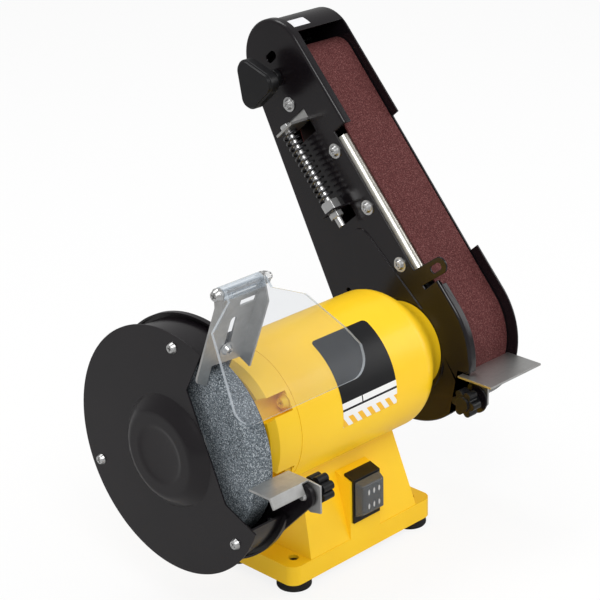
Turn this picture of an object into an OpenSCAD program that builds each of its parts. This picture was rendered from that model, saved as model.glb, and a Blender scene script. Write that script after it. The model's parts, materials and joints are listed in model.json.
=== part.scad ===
// Combination bench grinder and belt sander.
// A two-ended induction motor on a cast base: a guarded 150 mm grinding wheel on the
// left end of the shaft, a 50 mm sanding belt on a swinging arm on the right end.
// X runs along the shaft to the right, the operator stands at -Y, Z is up.
// The origin is the centre of the four mounting holes, on the bench.

/* [Base] */
// Width of the base slab along the shaft
base_w = 156.6; // [152:1:180]
// Depth of the base slab, front to back
base_d = 88; // [84:1:110]
// Height of the slab's edge
slab_t = 16; // [12:1:20]
// Radius of the slab's corners
slab_corner = 9; // [4:1:14]
// Wall of the casting
base_wall = 5; // [3:0.5:7]
// Step of the slab outside the pedestal at each end
pedestal_step = 19.3; // [16:0.1:24]
// Width of the pedestal under the motor
pedestal_top_w = 99; // [80:1:106]
// Depth of the pedestal under the motor
pedestal_top_d = 46; // [36:1:60]
// Distance of the mounting holes from the slab's ends
hole_edge_x = 13.3; // [11:0.1:18]
// Distance of the mounting holes from the slab's front and back
hole_edge_y = 13; // [11:0.5:18]
// Radius of the mounting holes
hole_r = 4; // [3:0.25:5]
// Height of the rubber feet below the slab
foot_h = 7; // [4:0.5:12]
// Radius of the rubber feet
foot_r = 13.5; // [10:0.5:15]
// Thickness of the steel plate that closes the base
cover_t = 1.5; // [1:0.25:3]

/* [Switch] */
// Place of the switch along the shaft
switch_x = 0.2; // [-10:0.1:12]
// Width of the switch frame
switch_w = 29; // [27:0.5:34]
// Height of the switch frame
switch_h = 36.5; // [34:0.5:42]
// Height of the frame's middle above the slab's underside
switch_z = 47.5; // [44:0.5:50]
// Swing of the rocker between its two ends
rocker_swing = 16; // [8:1:18]

/* [Motor] */
// Height of the shaft above the bench
shaft_h = 135.6; // [130:0.2:150]
// Radius of the motor housing
motor_r = 56; // [54:0.5:60]
// Wall of the motor housing
motor_wall = 4; // [3:0.25:6]
// Left end of the round housing
housing_x0 = -77; // [-82:0.5:-72]
// Right end of the round housing
housing_x1 = 58; // [54:0.5:62]
// Radius of the nose that carries the belt arm
nose_r = 36; // [32:0.5:40]
// Length of the rotor and stator stacks
stack_l = 70; // [50:1:80]
// Radius of the rotor stack
rotor_r = 28; // [22:0.5:30]
// Air gap between rotor and stator
air_gap = 0.4; // [0.2:0.1:1]
// Radius of the shaft in its bearings
shaft_r = 7.5; // [6:0.25:8]
// Radius of the shaft's two ends
shaft_end_r = 6.35; // [5:0.05:7]
// Outer radius of the ball bearings
bearing_r = 17.5; // [15:0.5:20]
// Width of the ball bearings
bearing_w = 11; // [9:0.5:14]

/* [Grinding wheel] */
// Radius of the grinding wheel
wheel_r = 75; // [70:0.5:76]
// Thickness of the grinding wheel
wheel_t = 20; // [16:0.5:20]
// Right face of the grinding wheel
wheel_x = -125; // [-125.4:0.1:-124]
// Radius of the outer flange
flange_r = 33; // [26:0.5:36]
// Outer radius of the guard's cover and back ring
guard_r = 93.5; // [92:0.5:96]
// Step from the guard's edge in to its rim
guard_step = 4; // [3:0.25:5]
// Outer face of the guard cover
guard_x0 = -155; // [-157:0.5:-154]
// Sheet thickness of the guard
guard_t = 1.5; // [1:0.25:2]
// Radius of the pressed dome in the cover
dome_r = 43; // [38:0.5:44]
// Height of the pressed dome
dome_h = 9; // [8:0.5:12]
// Distance of the cover screws from the guard's edge
cover_screw_edge = 10.5; // [9.5:0.5:11.5]

/* [Belt arm] */
// Lean of the arm behind the vertical, as it is set up
arm_lean = 41.4; // [20:0.2:60]
// Width of the sanding belt
belt_w = 50; // [46:1:50]
// Thickness of the sanding belt
belt_t = 1.3; // [1:0.1:1.6]
// Left edge of the sanding belt
belt_x = 105.4; // [104.8:0.1:106]
// Distance from the shaft to the front of the belt
belt_n = 53.7; // [52:0.1:55]
// Outer radius of the belt round the idler
idler_loop_r = 17; // [15:0.5:20]
// Distance between the shaft and the idler axle
idler_dist = 234; // [226:1:236]
// Radius of the housing round the drive wheel
disc_r = 65; // [64:0.5:68]
// Radius of the arm's top end
arm_top_r = 33; // [31:0.5:35]
// Height of the top end's centre along the arm
arm_top_s = 247; // [244:0.5:250]
// Forward offset of the top end's centre
arm_top_n = 29; // [27:0.5:31]
// Inner face of the arm plate
arm_x = 96.8; // [96.6:0.1:97]
// Sheet thickness of the arm
arm_t = 1.6; // [1.2:0.1:2]
// Outer face of the outer guard
arm_x1 = 158; // [157.5:0.25:160]
// Width of the arm plate's bent rim
rim_w = 7.7; // [5:0.1:8]
// Lower end of the belt's platen along the arm
platen_s0 = 43; // [42:1:50]
// Upper end of the belt's platen along the arm
platen_s1 = 164; // [150:1:166]
// Distance of the tension spring's axis in front of the arm's centre line
spring_n = 15; // [13:0.5:17]
// Distance of the spring's axis from the arm plate
spring_off = 11; // [9.5:0.25:12]
// Outer radius of the tension spring
spring_r = 7; // [6:0.25:8]
// Wire radius of the tension spring
spring_wire = 0.95; // [0.7:0.05:1.1]
// Turns of the tension spring
spring_turns = 13; // [8:1:15]
// Travel of the idler carriage when the tension is let off
idler_travel = 9; // [4:1:10]

/* [Rests and guards] */
// Width of the grinding wheel's tool rest
rest_w = 38; // [32:1:42]
// Depth of the grinding wheel's tool rest
rest_d = 20.5; // [18:0.5:26]
// Length of the rest's front lip
rest_lip = 8.5; // [6:0.5:14]
// Thickness of the tool rests and of the spark deflector
rest_t = 1.6; // [1.2:0.1:2.4]
// Width of the sanding belt's tool rest
belt_rest_w = 61; // [52:1:64]
// Depth of the sanding belt's tool rest
belt_rest_d = 33; // [24:1:36]
// Radius of the clamp knob on the grinding wheel's rest
knob_r = 10.8; // [10:0.2:17]
// Radius of the clamp knob on the sanding belt's rest
small_knob_r = 11.3; // [9:0.1:12]
// Lean of the spark deflector before the vertical
deflector_lean = 21; // [18:0.5:24]
// Thickness of the clear eye shield
shield_t = 2.5; // [2:0.25:4]
// Lean of the eye shield before the vertical
shield_tilt = 20; // [14:1:40]
// Radius of the eye shield's lower corners
shield_corner = 15; // [8:1:20]
// Outer radius of the pivot barrel of the eye shield
barrel_r = 5; // [4.8:0.1:5.4]

/* [Fits] */
// Radial clearance of a shaft that turns in a bore
run_fit = 0.05; // [0.02:0.01:0.1]
// Clearance of a piece that is pushed home and stays
seat_fit = 0.02; // [0.01:0.01:0.05]
// Gap between faces that slide past each other
slide_gap = 0.3; // [0.2:0.05:0.4]

/* [Hidden] */
$fn = 64;

paint_yellow = [0.97, 0.74, 0.12];
paint_black = [0.09, 0.09, 0.1];
plastic_black = [0.12, 0.12, 0.13];
rubber_black = [0.15, 0.14, 0.14];
zinc = [0.72, 0.73, 0.74];
steel = [0.6, 0.61, 0.63];
tiny = 0.01;
tangent_ease = 0.02;

// Slab and pedestal
slab_z0 = foot_h;
slab_z1 = foot_h + slab_t;
pedestal_z1 = shaft_h - 40;
pedestal_w = base_w - 2 * pedestal_step;
hole_pitch_x = base_w - 2 * hole_edge_x;
hole_pitch_y = base_d - 2 * hole_edge_y;
cover_screw_x = hole_pitch_x / 2 + 2;
small_screw_r = 1.6;
front_y = -base_d / 2;
switch_mid_z = foot_h + switch_z;
boss_w = switch_w + 4;
boss_rise = 0.31;
frame_lip_t = 1.5;

// Stations along the shaft
nose_x1 = arm_x - slide_gap;
spigot_r = 26;
spigot_x1 = nose_x1 + 8;
cap_x0 = housing_x0 - 27;
guard_back_x = guard_x0 + 33.2;
inner_flange_x1 = wheel_x + 6;
wheel_x0 = wheel_x - wheel_t;
nut_x0 = wheel_x0 - 4 - 8;
cap_screw_y = 43;
cap_screw_z = 26;
left_bearing_x = -112;
right_bearing_x = 76;

// Guard opening, as angles round the shaft from +Y through +Z, and the corners of its cut
guard_rim_r = guard_r - guard_step;
cover_screw_r = guard_r - cover_screw_edge;
cut_top_in = guard_r * [-0.24, 0.582];
cut_top_out = guard_r * [-0.401, 0.881];
cut_low_in = guard_r * [-0.611, -0.24];
cut_low_out = guard_r * [-0.905, -0.367];
open_top = 116;
open_low = 202;
cover_x1 = guard_x0 + 1.2;

// Arm
loop_drive_r = belt_n;
drive_wheel_r = belt_n - belt_t - slide_gap;
idler_r = idler_loop_r - belt_t - slide_gap;
idler_n = belt_n - idler_loop_r;
idler_s = sqrt(idler_dist * idler_dist - idler_n * idler_n);
arm_sheet_x = arm_x + arm_t;
spring_x = arm_x - spring_off;
tab_s = 117;
nut_s = tab_s + arm_t;
nut_h = 8;
spring_s0 = nut_s + nut_h;
carriage_tab_s = 191.5;
carriage_t = 2;
carriage_x = arm_sheet_x + 0.2;
tracking_s = 235;
tracking_n = 22.5;
m6_r = 3;
m5_r = 2.5;
guard_inset = arm_t + seat_fit;
guard_sheet = 1.4;
hood_low_s = 236;
hood_front_s = 253.5;
hood_screw_at = [[-11, 263], [-44, 267]];
platen_bolt_n = belt_n - 14.9;
platen_bolt_s = [platen_s0 + 10.6, (platen_s0 + platen_s1) / 2 + 1.9, platen_s1 - 6.8];
platen_t = 2;
platen_bend = 5;
drive_hub_l = 34;

// Grinding wheel rest, measured from the shaft's axis
rest_z = -1.5;
rest_y = -81.5;
rest_x1 = -117;
rest_bolt_y = -100.5;
rest_bolt_z = -13;
support_x0 = guard_back_x;
support_t = 3;
rest_bend = 62;
support_at = [for (a = [212.2, 224.5]) (guard_r - 12) * [cos(a), sin(a)]];

// Sanding belt rest, measured from the shaft's axis
belt_rest_z = -8;
belt_rest_x0 = arm_x - 6;
belt_rest_y = -58;
belt_rest_bolt_y = -70;
belt_rest_bolt_z = -25.5;
rest_ear_r = 12;

// Spark deflector: the screw is the origin of its own upright frame
deflector_at = guard_r + 3.68;
deflector_y = deflector_at * cos(open_top + 0.59);
deflector_z = deflector_at * sin(open_top + 0.59);
deflector_x0 = -158;
deflector_x1 = -118;
slot_x = -137;
rod_z = 53;
rod_x0 = -160;
rod_x1 = -112;
rod_y = deflector_y - rod_z * sin(deflector_lean);
rod_h = deflector_z + rod_z * cos(deflector_lean);

// ---------------------------------------------------------------- helpers

// Moves children to the shaft's height
module about_shaft() {
    translate([0, 0, shaft_h]) children();
}

// Cylinder along X between two stations
module disc_x(x0, x1, r, r2 = undef) {
    translate([x0, 0, 0]) rotate([0, 90, 0]) cylinder(h = x1 - x0, r1 = r, r2 = is_undef(r2) ? r : r2);
}

// Tube along X between two stations
module tube_x(x0, x1, ro, ri) {
    difference() {
        disc_x(x0, x1, ro);
        disc_x(x0 - 1, x1 + 1, ri);
    }
}

// A profile drawn in Y and Z, extruded along X
module sheet_x(x0, t) {
    translate([x0, 0, 0]) rotate([90, 0, 90]) linear_extrude(t) children();
}

// A body turned about X from a profile of [x, radius] points
module turned_x(profile) {
    rotate([0, 90, 0]) rotate_extrude($fn = 96) polygon([for (p = profile) [p[1], p[0]]]);
}

// Arm frame: Z runs up along the arm, -Y is its front
module on_arm() {
    about_shaft() rotate([-arm_lean, 0, 0]) children();
}

// Deflector frame: Z runs up along the bracket, -Y is its front
module on_deflector() {
    about_shaft() translate([0, deflector_y, deflector_z]) rotate([deflector_lean, 0, 0]) children();
}

// Eye shield frame: origin on the rod, -Z runs down along the shield, -Y is its outside
module on_shield() {
    about_shaft() translate([0, rod_y, rod_h]) rotate([-shield_tilt, 0, 0]) children();
}

// Unit normal of the line that touches two circles on the right of the way from a to b
function touch_normal(a, ra, b, rb) =
    let (d = norm(b - a), u = (b - a) / d, k = (ra - rb) / d)
    k * u + sqrt(1 - k * k) * [u[1], -u[0]];

// Closed outline round two circles; its sides lie a hair inside the tangents, so that they cross the circles
module loop2d(a, ra, b, rb) {
    m = touch_normal(a, ra, b, rb);
    w = touch_normal(b, rb, a, ra);
    qa = ra - tangent_ease;
    qb = rb - tangent_ease;
    translate(a) circle(ra, $fn = 96);
    translate(b) circle(rb, $fn = 96);
    polygon([a + qa * m, b + qb * m, b + qb * w, a + qa * w]);
}

// Straight slot between two points
module slot2d(a, b, r) {
    loop2d(a, r, b, r);
}

// Rounded rectangle centred on the origin
module round_rect(w, d, r) {
    square([w - 2 * r, d], center = true);
    square([w, d - 2 * r], center = true);
    for (sx = [-1, 1], sy = [-1, 1])
        translate([sx * (w / 2 - r), sy * (d / 2 - r)]) circle(r);
}

// Pan-head screw with a cross recess, head towards -X, seat at x = 0
module pan_screw(r, head_r, head_h, length) {
    difference() {
        union() {
            disc_x(-head_h, 0, head_r * 0.72, head_r);
            disc_x(-tiny, length, r);
        }
        for (a = [0, 90])
            rotate([a, 0, 0]) translate([-head_h - 1, -head_r * 0.5, -head_r * 0.11])
                cube([head_h * 0.6 + 1, head_r, head_r * 0.22]);
    }
}

// Hexagon nut along X
module hex_nut(x0, h, flats, bore) {
    difference() {
        translate([x0, 0, 0]) rotate([0, 90, 0]) cylinder(h = h, r = flats / sqrt(3), $fn = 6);
        disc_x(x0 - 1, x0 + h + 1, bore);
    }
}

// Clamp knob with round lobes, turning about X
module lobed_knob(x0, x1, r, lobes) {
    lobe = r * 0.3;
    ring = r - lobe;
    sheet_x(x0, x1 - x0) {
        circle(ring);
        for (i = [0 : lobes - 1])
            rotate(i * 360 / lobes) translate([ring, 0]) circle(lobe, $fn = 32);
    }
}

// ---------------------------------------------------------------- base

// Outside of the tapered pedestal, or its hollow when inset
module pedestal_form(inset, z0, z1) {
    top_w = pedestal_top_w / 2 - inset;
    low_w = pedestal_w / 2 - inset;
    top_d = pedestal_top_d / 2 - inset;
    low_d = base_d / 2 - inset;
    intersection() {
        translate([0, base_d, 0]) rotate([90, 0, 0]) linear_extrude(2 * base_d)
            polygon([[-low_w, z0], [low_w, z0], [top_w, z1], [-top_w, z1]]);
        sheet_x(-base_w, 2 * base_w)
            polygon([[-low_d, z0], [low_d, z0], [top_d, z1], [-top_d, z1]]);
    }
}

// Wedge on the sloping front that holds the switch upright
module switch_boss() {
    boss_top = switch_mid_z + switch_h / 2 - frame_lip_t;
    back = base_d / 2 - pedestal_top_d / 2;
    translate([switch_x - boss_w / 2, 0, 0]) sheet_x(0, boss_w)
        polygon([[front_y, slab_z0 + slab_t * 0.6], [front_y, boss_top],
                 [front_y + back, boss_top + back * boss_rise], [0, boss_top], [0, slab_z0 + slab_t * 0.6]]);
}

module base_casting() {
    color(paint_yellow) difference() {
        union() {
            translate([0, 0, slab_z0]) linear_extrude(slab_t) round_rect(base_w, base_d, slab_corner);
            pedestal_form(0, slab_z1 - 2, pedestal_z1);
            switch_boss();
        }
        difference() {
            translate([0, 0, slab_z0 - 1]) linear_extrude(slab_t - base_wall + 1)
                round_rect(base_w - 2 * base_wall, base_d - 2 * base_wall, slab_corner - base_wall / 2);
            for (sx = [-1, 1], sy = [-1, 1])
                translate([sx * hole_pitch_x / 2, sy * hole_pitch_y / 2, slab_z0 + cover_t])
                    cylinder(h = slab_t, r = hole_r + 4);
            for (sx = [-1, 1])
                translate([sx * cover_screw_x, 0, slab_z0 + cover_t]) cylinder(h = slab_t, r = 5);
        }
        intersection() {
            pedestal_form(base_wall, slab_z1 - 2, pedestal_z1);
            translate([-base_w / 2, -base_d / 2, slab_z0])
                cube([base_w, base_d, shaft_h - motor_r - base_wall - slab_z0]);
        }
        translate([0, 0, slab_z1 - base_wall - 1]) linear_extrude(base_wall + 2)
            square([pedestal_w - 2 * base_wall, base_d - 2 * base_wall], center = true);
        about_shaft() disc_x(-base_w, base_w, motor_r + seat_fit);
        for (sx = [-1, 1], sy = [-1, 1])
            translate([sx * hole_pitch_x / 2, sy * hole_pitch_y / 2, 0]) cylinder(h = slab_z1 + 1, r = hole_r);
        translate([switch_x - switch_w / 2 + 3, front_y - 1, switch_mid_z - switch_h / 2 + 3])
            cube([switch_w - 6, base_d / 2, switch_h - 6]);
        for (sx = [-1, 1]) {
            translate([sx * 30, 0, 0]) cylinder(h = shaft_h, r = m5_r + seat_fit);
            translate([sx * cover_screw_x, 0, 0]) cylinder(h = slab_z0 + 9, r = small_screw_r + seat_fit);
        }
    }
}

module bottom_cover() {
    color(steel) translate([0, 0, slab_z0]) linear_extrude(cover_t) difference() {
        round_rect(base_w - 2 * base_wall - 1, base_d - 2 * base_wall - 1, slab_corner - base_wall);
        for (sx = [-1, 1], sy = [-1, 1])
            translate([sx * hole_pitch_x / 2, sy * hole_pitch_y / 2]) circle(hole_r);
        for (sx = [-1, 1])
            translate([sx * cover_screw_x, 0]) circle(small_screw_r + seat_fit);
    }
}

module bottom_cover_screws() {
    color(zinc) for (sx = [-1, 1])
        translate([sx * cover_screw_x, 0, slab_z0]) rotate([0, -90, 0]) pan_screw(small_screw_r, 3.2, 2, 6 + cover_t);
}

module rubber_feet() {
    color(rubber_black) for (sx = [-1, 1], sy = [-1, 1])
        translate([sx * hole_pitch_x / 2, sy * hole_pitch_y / 2, 0]) rotate_extrude()
            polygon([[hole_r, 0], [foot_r - 1, 0], [foot_r, 1], [foot_r - 0.4, foot_h], [hole_r, foot_h]]);
}

module capacitor() {
    color([0.85, 0.85, 0.83]) translate([-6, 6, slab_z0 + cover_t + 17]) difference() {
        union() {
            disc_x(-32, 28, 17);
            disc_x(28, 31, 12);
        }
        for (sy = [-1, 1])
            translate([0, sy * 5, 0]) disc_x(30, 32, 1.5);
    }
}

// ---------------------------------------------------------------- switch

module switch_frame() {
    body_w = switch_w - 7;
    body_h = switch_h - 7;
    lip_d = 8;
    lip_z = switch_h / 2 - frame_lip_t + seat_fit;
    color(plastic_black) translate([switch_x, front_y, switch_mid_z]) difference() {
        union() {
            translate([-switch_w / 2, -2, -switch_h / 2]) cube([switch_w, 2, switch_h]);
            sheet_x(-switch_w / 2, switch_w)
                polygon([[-2, switch_h / 2 - 3], [-2, switch_h / 2], [lip_d, switch_h / 2 + (lip_d + 2) * boss_rise],
                         [lip_d, lip_z + lip_d * boss_rise], [0, lip_z], [0, switch_h / 2 - 3]]);
            translate([-body_w / 2, 0, -body_h / 2]) cube([body_w, 15, body_h]);
            for (sx = [-1, 0, 1])
                translate([sx * body_w / 3 - 0.4, 15, -6]) cube([0.8, 7, 6]);
        }
        translate([-body_w / 2 + 2.5, -4, -body_h / 2 + 2]) cube([body_w - 5, 14, body_h - 4]);
        disc_x(-body_w / 2 + 1, body_w / 2 - 1, 1.5 + run_fit);
    }
}

// Drafted cap over the rocker, or its hollow when inset
module boot_form(inset) {
    half_w = switch_w / 2 - 1 - inset;
    half_h = switch_h / 2 - 3.5 - inset;
    out = 7.5 - inset;
    intersection() {
        sheet_x(-switch_w, 2 * switch_w)
            polygon([[inset, -half_h], [-out + 1, -half_h + 2.4], [-out, -half_h + 4], [-out, half_h - 4],
                     [-out + 1, half_h - 2.4], [inset, half_h]]);
        translate([0, 0, -switch_h]) linear_extrude(2 * switch_h)
            polygon([[-half_w, inset], [-half_w + 2, -out + 1], [-half_w + 3.4, -out], [half_w - 3.4, -out],
                     [half_w - 2, -out + 1], [half_w, inset]]);
    }
}

module switch_boot() {
    color([0.75, 0.77, 0.8, 0.45]) translate([switch_x, front_y - 2, switch_mid_z - 1]) difference() {
        boot_form(0);
        boot_form(1);
    }
}

module switch_rocker() {
    rocker_w = switch_w - 13;
    rocker_h = switch_h - 16;
    color(plastic_black) translate([switch_x, front_y, switch_mid_z]) {
        rotate([rocker_swing / 2, 0, 0]) difference() {
            intersection() {
                sheet_x(-rocker_w / 2, rocker_w) translate([26, 0]) circle(31, $fn = 96);
                translate([-rocker_w / 2, -6, -rocker_h / 2]) cube([rocker_w, 9, rocker_h]);
            }
            translate([-rocker_w / 2 - 1, -35, 0]) disc_x(0, rocker_w + 2, 31);
        }
        disc_x(-switch_w / 2 + 5, switch_w / 2 - 5, 1.5);
    }
}

// ---------------------------------------------------------------- motor

module motor_housing() {
    color(paint_yellow) about_shaft() difference() {
        disc_x(housing_x0, housing_x1, motor_r);
        disc_x(housing_x0 - 1, housing_x1 + 1, motor_r - motor_wall);
        at_cap_screws() disc_x(housing_x0 - 1, housing_x1 + 1, m5_r + slide_gap);
        for (sx = [-1, 1])
            translate([sx * 30, 0, -motor_r - 1]) cylinder(h = motor_wall + 2, r = m5_r + seat_fit);
    }
}

// Places children at the four long screws that hold the end caps
module at_cap_screws() {
    for (sy = [-1, 1], sz = [-1, 1])
        translate([0, sy * cap_screw_y, sz * cap_screw_z]) children();
}

module left_end_cap() {
    color(paint_yellow) about_shaft() difference() {
        turned_x([[housing_x0, 0], [housing_x0, motor_r - 0.3], [cap_x0 + 5, motor_r - 0.3],
                  [cap_x0, motor_r - 5], [cap_x0, nose_r + 8], [cap_x0 - 6, nose_r + 3],
                  [guard_back_x, nose_r + 3], [guard_back_x, 0]]);
        disc_x(cap_x0 + motor_wall, housing_x0 + 1, motor_r - motor_wall - 14);
        disc_x(left_bearing_x, cap_x0 + motor_wall + 1, bearing_r + seat_fit);
        disc_x(guard_back_x - 1, left_bearing_x + 1, shaft_r + 0.5);
        disc_x(guard_back_x - 1, inner_flange_x1 + 1, flange_r - 4);
        at_cap_screws() {
            disc_x(cap_x0 - 8, housing_x0 - 4, 9);
            disc_x(cap_x0, housing_x0 + 1, m5_r + seat_fit);
        }
        for (a = [90, 210, 330])
            rotate([a, 0, 0]) translate([0, nose_r - 3, 0]) disc_x(guard_back_x - 1, guard_back_x + 9, 2 + seat_fit);
    }
}

// Radius of the right end cap, easing from the housing down to the nose
function cap_radius(t) = nose_r + (motor_r - nose_r) * (1 + cos(180 * t)) / 2;

module right_end_cap() {
    steps = 14;
    run = nose_x1 - 2 - housing_x1;
    color(paint_yellow) about_shaft() difference() {
        turned_x(concat(
            [[housing_x1, 0]],
            [for (i = [0 : steps]) [housing_x1 + run * i / steps, cap_radius(i / steps)]],
            [[nose_x1, nose_r], [nose_x1, spigot_r], [spigot_x1, spigot_r], [spigot_x1, 0]]));
        disc_x(housing_x1 - 1, right_bearing_x + 1, motor_r - motor_wall - 18);
        disc_x(right_bearing_x, right_bearing_x + bearing_w, bearing_r + seat_fit);
        disc_x(right_bearing_x, spigot_x1 + 1, shaft_r + 0.5);
        at_cap_screws() disc_x(housing_x1 - 1, housing_x1 + 7, m5_r + seat_fit);
    }
}

module end_cap_screws() {
    color(steel) about_shaft() at_cap_screws() translate([housing_x0 - 4, 0, 0]) {
        translate([-0.8, 0, 0]) pan_screw(m5_r, 5, 4, 4.8 + housing_x1 - housing_x0 + 6);
        tube_x(-0.8, 0, 6.5, m5_r);
    }
}

module motor_mount_screws() {
    roof_z = shaft_h - motor_r - base_wall;
    color(steel) for (sx = [-1, 1])
        translate([sx * 30, 0, roof_z]) rotate([0, -90, 0]) pan_screw(m5_r, 5, 3.5, base_wall + motor_wall - 0.5);
}

module stator_core() {
    slots = 24;
    color(steel) about_shaft() difference() {
        disc_x(-stack_l / 2, stack_l / 2, motor_r - motor_wall - seat_fit);
        disc_x(-stack_l, stack_l, rotor_r + air_gap);
        at_cap_screws() disc_x(-stack_l, stack_l, m5_r + 1);
        for (i = [0 : slots - 1])
            rotate([i * 360 / slots, 0, 0]) translate([0, rotor_r + 7, 0]) disc_x(-stack_l, stack_l, 2.2);
    }
}

module stator_windings() {
    color([0.72, 0.42, 0.2]) about_shaft() for (side = [-1, 1])
        turned_x([[side * stack_l / 2, rotor_r + 3], [side * (stack_l / 2 + 14), rotor_r + 4],
                  [side * (stack_l / 2 + 18), rotor_r + 8], [side * (stack_l / 2 + 14), rotor_r + 13],
                  [side * stack_l / 2, rotor_r + 14]]);
}

module ball_bearings() {
    color(steel) about_shaft() for (x0 = [left_bearing_x, right_bearing_x]) difference() {
        disc_x(x0, x0 + bearing_w, bearing_r);
        disc_x(x0 - 1, x0 + bearing_w + 1, shaft_r + run_fit);
        for (x1 = [x0 - 1, x0 + bearing_w - 1])
            tube_x(x1, x1 + 2, bearing_r - 3, shaft_r + 2.5);
    }
}

// ---------------------------------------------------------------- rotor

module motor_shaft() {
    color(steel) about_shaft() turned_x([
        [nut_x0 - 2, 0], [nut_x0 - 2, shaft_end_r - 1], [nut_x0 - 1, shaft_end_r], [inner_flange_x1, shaft_end_r],
        [inner_flange_x1, shaft_r], [belt_x + 3, shaft_r], [belt_x + 3, shaft_end_r],
        [belt_x + 43, shaft_end_r], [belt_x + 44, shaft_end_r - 1],
        [belt_x + 44, 0]]);
}

module rotor_core() {
    color(steel) about_shaft() difference() {
        union() {
            disc_x(-stack_l / 2, stack_l / 2, rotor_r);
            for (side = [-1, 1])
                turned_x([[side * stack_l / 2, shaft_r + 4], [side * (stack_l / 2 + 6), shaft_r + 4],
                          [side * (stack_l / 2 + 6), rotor_r - 3], [side * stack_l / 2, rotor_r - 1]]);
        }
        disc_x(-stack_l, stack_l, shaft_r + seat_fit);
    }
}

module inner_flange() {
    color(steel) about_shaft() difference() {
        turned_x([[wheel_x, 0], [wheel_x, flange_r - 7], [wheel_x + 2.5, flange_r - 7],
                  [inner_flange_x1, 14], [inner_flange_x1, 0]]);
        disc_x(wheel_x - 1, inner_flange_x1 + 1, shaft_end_r + seat_fit);
        tube_x(wheel_x - 1, wheel_x + 1, flange_r - 13, shaft_end_r + 3);
    }
}

module grinding_wheel() {
    color([0.42, 0.47, 0.52]) about_shaft() difference() {
        turned_x([[wheel_x0, 0], [wheel_x0, wheel_r - 0.8], [wheel_x0 + 0.8, wheel_r],
                  [wheel_x - 0.8, wheel_r], [wheel_x, wheel_r - 0.8], [wheel_x, 0]]);
        disc_x(wheel_x0 - 1, wheel_x + 1, shaft_end_r + seat_fit);
    }
}

module outer_flange() {
    color(zinc) about_shaft() difference() {
        turned_x([[wheel_x0, 0], [wheel_x0, flange_r], [wheel_x0 - 1.6, flange_r], [wheel_x0 - 4, flange_r - 9],
                  [wheel_x0 - 4, 0]]);
        disc_x(wheel_x0 - 5, wheel_x0 + 1, shaft_end_r + seat_fit);
        tube_x(wheel_x0 - 1.5, wheel_x0 + 1, flange_r - 8, shaft_end_r + 4);
    }
}

module wheel_nut() {
    color(zinc) about_shaft() hex_nut(nut_x0, 8, 19, shaft_end_r + seat_fit);
}

module drive_wheel() {
    hub_r = 14;
    color([0.7, 0.71, 0.72]) about_shaft() difference() {
        union() {
            tube_x(belt_x, belt_x + belt_w, drive_wheel_r, drive_wheel_r - 5);
            disc_x(belt_x + 20, belt_x + 26, drive_wheel_r - 4);
            disc_x(belt_x + 3, belt_x + drive_hub_l, hub_r);
        }
        disc_x(belt_x, belt_x + belt_w, shaft_end_r + seat_fit);
        for (i = [0 : 5])
            rotate([i * 60, 0, 0]) translate([0, 30, 0]) disc_x(belt_x + 19, belt_x + 27, 8);
    }
}

module drive_wheel_nut() {
    color(zinc) about_shaft() hex_nut(belt_x + drive_hub_l, 7, 19, shaft_end_r + seat_fit);
}

// ---------------------------------------------------------------- wheel guard

// Everything in front of the guard's opening, as seen along the shaft
module opening2d(reach) {
    a = [reach * cos(open_top), reach * sin(open_top)];
    b = [reach * cos(open_low), reach * sin(open_low)];
    polygon([cut_top_in, cut_top_out, a, [-2 * reach, reach], [-2 * reach, -reach / 2], b, cut_low_out, cut_low_in]);
}

// Wedge between two angles, wide enough for the whole guard
module wedge2d(from, to, reach) {
    mid = (from + to) / 2;
    polygon([[0, 0], [reach * cos(from), reach * sin(from)], [2 * reach * cos(mid), 2 * reach * sin(mid)],
             [reach * cos(to), reach * sin(to)]]);
}

module wheel_guard() {
    rim_x0 = cover_x1;
    color(paint_black) about_shaft() difference() {
        union() {
            difference() {
                union() {
                    tube_x(guard_back_x - guard_t, guard_back_x, guard_r, guard_rim_r - 20);
                    tube_x(guard_back_x - 4, guard_back_x - guard_t + tiny, guard_r, guard_r - guard_t);
                    tube_x(rim_x0, guard_back_x - guard_t + tiny, guard_rim_r, guard_rim_r - guard_t);
                }
                sheet_x(guard_x0 - 5, 60) wedge2d(open_top, open_low, 2 * guard_r);
            }
            disc_x(guard_back_x - guard_t, guard_back_x, guard_rim_r - 19);
            for (a = [97, -23, -143])
                rotate([a, 0, 0]) translate([0, cover_screw_r, 0]) disc_x(rim_x0, rim_x0 + 9, 6);
            translate([0, deflector_y, deflector_z]) rotate([deflector_lean, 0, 0])
                translate([slot_x - 11, 0.15, -13]) cube([22, 3.4, 22]);
        }
        disc_x(guard_back_x - 5, guard_back_x + 1, flange_r - 3);
        for (a = [97, -23, -143])
            rotate([a, 0, 0]) translate([0, cover_screw_r, 0]) disc_x(rim_x0 - 1, rim_x0 + 8, 2 + seat_fit);
        for (a = [90, 210, 330])
            rotate([a, 0, 0]) translate([0, nose_r - 3, 0]) disc_x(guard_back_x - 5, guard_back_x + 1, 2 + seat_fit);
        translate([slot_x, deflector_y, deflector_z]) rotate([deflector_lean, 0, 0])
            translate([0, 10, 0]) rotate([90, 0, 0]) cylinder(h = 20, r = m5_r + seat_fit);
        for (p = support_at)
            translate([0, p[0], p[1]]) disc_x(guard_back_x - 5, guard_back_x + 1, m5_r + seat_fit);
    }
}

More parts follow.
